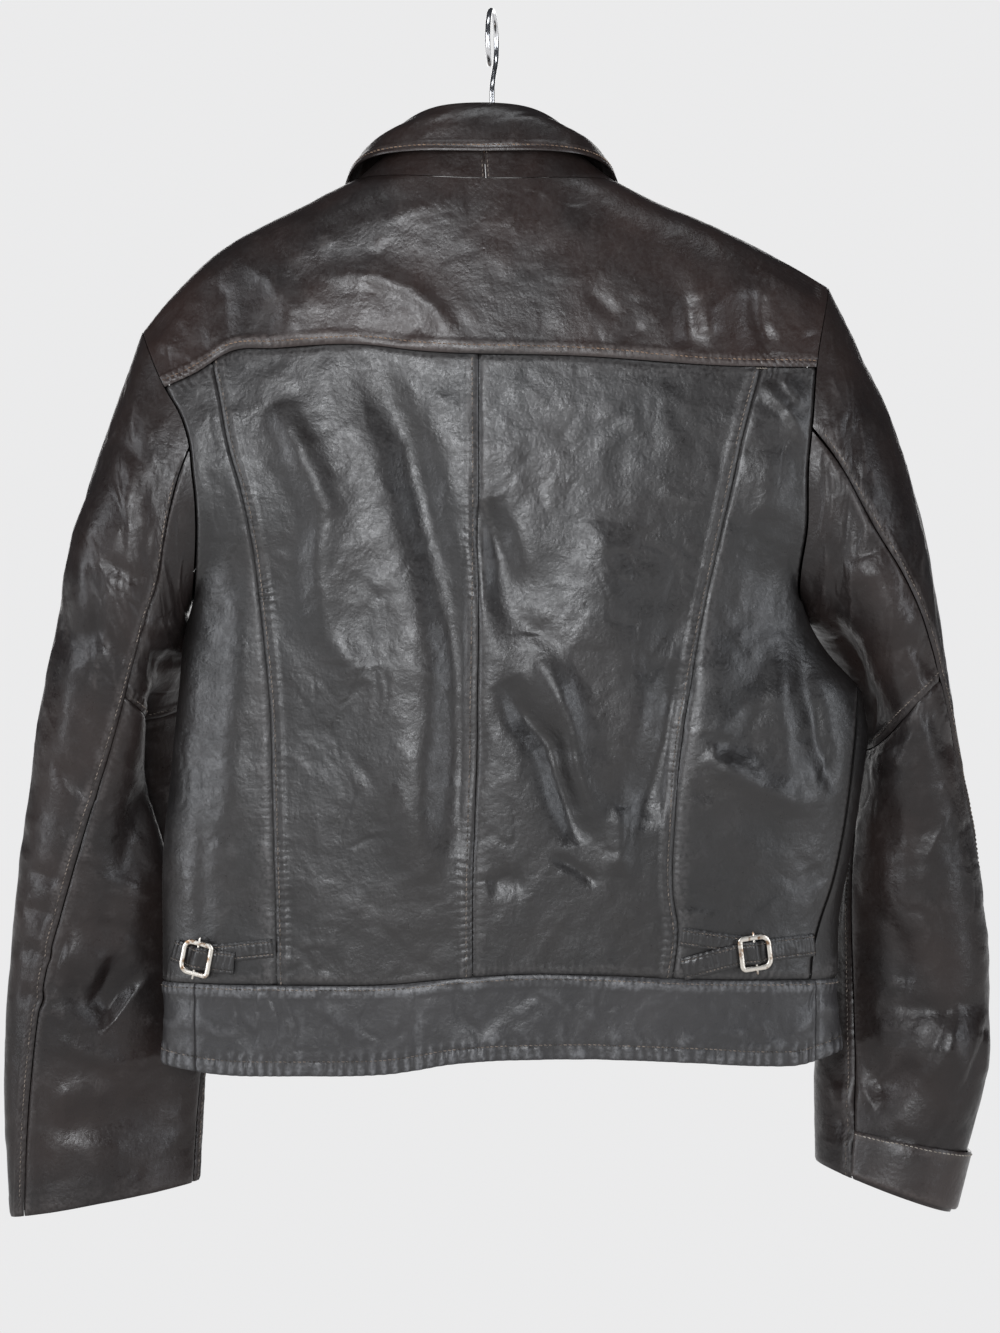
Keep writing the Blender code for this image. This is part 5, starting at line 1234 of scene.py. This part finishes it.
def frame_ring(length, width, bar, thick, rounds, steps):
    """A flat ring: a bar of rounded section carried round a rectangle with rounded corners, given their radii."""
    x, y = (length - bar) / 2, (width - bar) / 2
    turns = np.radians(np.linspace(0, 90, steps + 1)[None] + np.array([0, 90, 180, 270])[:, None])
    corner = np.array([(1, 1), (-1, 1), (-1, -1), (1, -1)])
    radius = np.array(rounds)[:, None]
    way = np.stack([np.cos(turns), np.sin(turns)], -1)
    centre = (corner * (np.array([x, y]) - radius))[:, None] + way * radius[..., None]
    centre, way = centre.reshape(-1, 2), way.reshape(-1, 2)
    turn = np.linspace(0, 2 * math.pi, 17)[:-1]
    across = np.sign(np.cos(turn)) * abs(np.cos(turn)) ** 0.55 * bar / 2
    height = np.sign(np.sin(turn)) * abs(np.sin(turn)) ** 0.55 * thick / 2
    flat = centre[:, None] + way[:, None] * across[:, None]
    points = np.concatenate([flat, np.broadcast_to(height[:, None], (*flat.shape[:2], 1))], -1)
    return points.reshape(-1, 3), closed_faces(len(centre), len(turn))


def closed_faces(m, n):
    """Quads of a grid that is closed both ways."""
    i, j = np.meshgrid(np.arange(m), np.arange(n), indexing="ij")
    k, l = (i + 1) % m, (j + 1) % n
    return np.stack([i * n + j, k * n + j, k * n + l, i * n + l], -1).reshape(-1, 4).tolist()


def metal(name, bright, tarnish, roughness, patches):
    """Plated metal: bright, with dull brown patches where noise is high, and fine scratches in its gloss."""
    plate = Finish(name, {"Metallic": 1})
    share = plate.ranged(plate.noise(190, 4), *patches)
    gloss = plate.ranged(plate.noise(1500, 3), 0, 1, roughness, roughness + 0.2)
    return plate.made({"Base Color": plate.mixed(share, bright, tarnish), "Roughness": gloss})


def rod(points, radius, sides=12):
    """A round bar along points, with flat ends: rings square to the path."""
    p = np.array(points, float)
    way = unit(np.gradient(p, axis=0))
    first = unit(np.cross(way[0], [0.31, 0.87, 0.39]))
    aside = [first]
    for w in way[1:]:
        aside.append(unit(aside[-1] - w * (aside[-1] @ w)))
    aside = np.array(aside)
    over = np.cross(way, aside)
    turn = np.linspace(0, 2 * math.pi, sides + 1)[:-1]
    radius = np.broadcast_to(np.asarray(radius, float), (len(p),))[:, None, None]
    rings = p[:, None] + radius * (aside[:, None] * np.cos(turn)[:, None] + over[:, None] * np.sin(turn)[:, None])
    faces = tube_faces(len(p), sides).tolist()
    faces += [list(range(sides))[::-1], [sides * (len(p) - 1) + i for i in range(sides)]]
    return rings.reshape(-1, 3), faces


nickel = metal("tarnished_nickel", (0.66, 0.62, 0.56), (0.23, 0.14, 0.08), 0.22, (0.5, 0.62))
for side in (LEFT, RIGHT):
    made = STRAPS[side]
    strap_lines = []
    for part, width, columns in (("strap", made["strap_width"], 150), ("anchor", made["anchor_width"], 100)):
        u, v = grid(columns, 28)
        points, n, x = strap_points(made[part], width, u, v)
        raised = (strap_lift(side, x) if part == "strap" else 0.3 + 0 * x) + STRAP_WALL
        points = points + n * raised[..., None]
        away = edge_distances(points)
        lift = 0.18 * noise(away["u0"], away["v0"], 6, 121) - 0.3 * bell(away["v0"], EDGE_STITCH, 0.7)
        lift -= 0.3 * bell(away["v1"], EDGE_STITCH, 0.7)
        lift += 0.12 * np.sin(2 * math.pi * away["u0"] / 4.6 + 2 * noise(away["u0"], away["v0"], 9, 122))
        for edge in ("u0", "u1", "v0", "v1"):
            lift -= 0.6 * bell(away[edge], 0, 0.9)
        made_points = leather_shell(f"{part}_{side}_leather", points, lift, outwards_from_torso, back_leather,
                                    [f"{part}_{side}"], wall=STRAP_WALL - 0.55)
        strap_lines += [beside_edge(made_points, edge, EDGE_STITCH) for edge in ("v0", "v1")]
    stitches(f"adjuster_{side}_stitches", strap_lines, dark_thread, pitch=2.6, length=1.9, radius=0.28,
             outwards=outwards_from_torso)

    share = np.linspace(0, 1, 200)
    x, z = path(made["strap"], share)
    k = int(np.argmin(abs(x - made["pin"])))
    p, n = back_point(x[k:k + 1], z[k:k + 1])
    n = n[0]
    along = (torso_at(x[k + 2:k + 3], z[k + 2:k + 3], BACK) - torso_at(x[k - 2:k - 1], z[k - 2:k - 1], BACK))[0]
    along = unit(along - n * (along @ n))
    along = along * np.sign(along[0])
    across = np.cross(n, along)
    middle = p[0] + n * (BUCKLE_HEIGHT + BUCKLE_THICK / 2)
    tight, wide = 2.3, 5.2
    rounds = (wide, tight, tight, wide) if side == RIGHT else (tight, wide, wide, tight)
    points, faces = frame_ring(BUCKLE_LENGTH, BUCKLE_WIDTH, BUCKLE_BAR, BUCKLE_THICK, rounds, 9)
    points = points @ np.stack([along, across, n]) + middle
    reach = BUCKLE_WIDTH / 2 + PIN_REACH
    pin_points, pin_faces = rod([middle + across * t * reach for t in (-1, -0.96, 0, 0.96, 1)],
                                PIN_RADIUS * np.array([0.7, 1, 1, 1, 0.7]))
    faces = faces + [[i + len(points) for i in face] for face in pin_faces]
    buckle = plain_mesh(f"buckle_{side}_nickel", np.concatenate([points, pin_points]) * MM, faces, nickel, 70)
    in_place_of(buckle, "nickel", f"buckle_{side}")

# ---------------------------------------------------------------------------------------------------------------
# Five horn buttons close the hidden front: turned with a raised rim and a dished middle, and sewn on with two
# crossed threads.
# From the back's middle to the front's: radius and height.
BUTTON_PROFILE = [(0, 0), (8.0, 0), (8.5, 0.5), (8.5, 2.2), (7.9, 2.9), (7.0, 3.0), (6.2, 2.5), (5.4, 2.0), (0, 1.9)]


def horn(name):
    """Polished horn: two browns in streaks."""
    polished = Finish(name, {"Roughness": 0.28})
    streaks = polished.noise(220, 4, 1.5)
    return polished.made({"Base Color": polished.mixed(streaks, (0.012, 0.009, 0.008), (0.06, 0.035, 0.02))})


def turned(profile, sides=32):
    """A lathe form about +Y: the (radius, height) profile carried round, its two ends closed to points."""
    turn = np.linspace(0, 2 * math.pi, sides + 1)[:-1]
    radius, height = np.array(profile[1:-1], float).T
    rings = np.stack([radius[:, None] * np.cos(turn), np.broadcast_to(height[:, None], (len(radius), sides)),
                      radius[:, None] * np.sin(turn)], -1).reshape(-1, 3)
    points = np.concatenate([rings, [[0, profile[0][1], 0], [0, profile[-1][1], 0]]])
    faces = tube_faces(len(radius), sides)[:, ::-1].tolist()
    low, high, last = len(rings), len(rings) + 1, sides * (len(radius) - 1)
    faces += [[low, i, (i + 1) % sides] for i in range(sides)]
    faces += [[high, last + (i + 1) % sides, last + i] for i in range(sides)]
    return points, faces


dark_horn = horn("dark_horn")
button_lines = []
button_points, button_faces = turned(BUTTON_PROFILE)
for k in range(5):
    low, high = (np.array(corner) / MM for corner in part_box(f"button_{k + 1}"))
    seat = np.array([(low[0] + high[0]) / 2, low[1], (low[2] + high[2]) / 2])
    made = plain_mesh(f"button_{k + 1}_horn", (button_points + seat) * MM, button_faces, dark_horn, 40)
    in_place_of(made, "horn", f"button_{k + 1}")
    for way in ((1, 1), (1, -1)):
        ends = np.linspace(-2.2, 2.2, 9)[:, None] * np.array([way[0], 0, way[1]]) / math.sqrt(2)
        button_lines.append((seat + np.array([0, 2.0, 0]) + ends, np.tile([0.0, 1, 0], (9, 1))))
stitches("button_threads", button_lines, dark_thread, pitch=4.2, length=4.0, radius=0.35)

# ---------------------------------------------------------------------------------------------------------------
# The hanger: a bent round bar of varnished beech inside the shoulders, and a polished steel hook that is bent from
# one wire and screwed into its middle.
ARM_RADIUS = 7
ARM_ROUTE = [(-211, -199), (-195, -183), (-151, -155), (-92, -127), (-50, -107), (-20, -97.5), (0, -95.5),
             (20, -97.5), (45, -107), (83, -127), (145, -155), (200, -183), (214, -190)]
WIRE_RADIUS, HOOK_RADIUS = 1.8, 19
HOOK_TURN, HOOK_TIP, HOOK_BACK = 82, 243, -38  # degrees: about the stem, and where the bend starts and ends
STEM_TOP, STEM_FOOT = -54, -87.7


def wood(name):
    """Varnished beech: streaked along the bar."""
    beech = Finish(name, {"Roughness": 0.38, "Coat Weight": 0.4})
    beech.place = beech.add("ShaderNodeMapping", {"Vector": beech.place, "Scale": (12, 260, 260)})
    return beech.made({"Base Color": beech.mixed(beech.noise(1, 6), (0.30, 0.17, 0.08), (0.50, 0.32, 0.17))})


route = np.array(ARM_ROUTE, float)
x = np.linspace(route[0, 0] + 0.2, route[-1, 0] - 0.2, 120)
z = smooth([tuple(p) for p in route], x)
from_end = np.minimum(x - route[0, 0], route[-1, 0] - x)
radius = ARM_RADIUS * np.sqrt(np.clip(1 - (1 - np.clip(from_end / 7, 0, 1)) ** 2, 0.02, 1))
points, faces = rod(np.stack([x, 0 * x, z], -1), radius - 0.05, 20)
bar = plain_mesh("hanger_body_wood", points * MM, faces, wood("hanger_beech"))
in_place_of(bar, "hanger_wood", "hanger_body")

middle_radius = HOOK_RADIUS + WIRE_RADIUS
turn = np.radians(np.linspace(HOOK_TIP, HOOK_BACK, 80))
flat = np.stack([middle_radius * np.cos(turn), middle_radius * np.sin(turn) - HOOK_RADIUS], -1)
start, foot = flat[-1], np.array([0, STEM_TOP])
way = np.array([math.sin(math.radians(HOOK_BACK)), -math.cos(math.radians(HOOK_BACK))])
t = np.linspace(0, 1, 24)[1:, None]
neck = ((1 - t) ** 3 * start + 3 * (1 - t) ** 2 * t * (start + way * 9)
        + 3 * (1 - t) * t**2 * (foot + np.array([0, 9])) + t**3 * foot)
flat = np.concatenate([flat, neck, [[0, (STEM_TOP + STEM_FOOT) / 2], [0, STEM_FOOT]]])
hook_turn = math.radians(HOOK_TURN)
line = np.stack([flat[:, 0] * math.cos(hook_turn), flat[:, 0] * math.sin(hook_turn), flat[:, 1]], -1)
radius = np.full(len(line), WIRE_RADIUS)
radius[:2] = WIRE_RADIUS * np.array([0.55, 0.9])
points, faces = rod(line, radius, 16)
steel = metal("hook_steel", (0.72, 0.72, 0.73), (0.35, 0.32, 0.3), 0.1, (0.6, 0.75))
hook = plain_mesh("hanger_hook_steel", points * MM, faces, steel)
in_place_of(hook, "chrome", "hanger_hook")
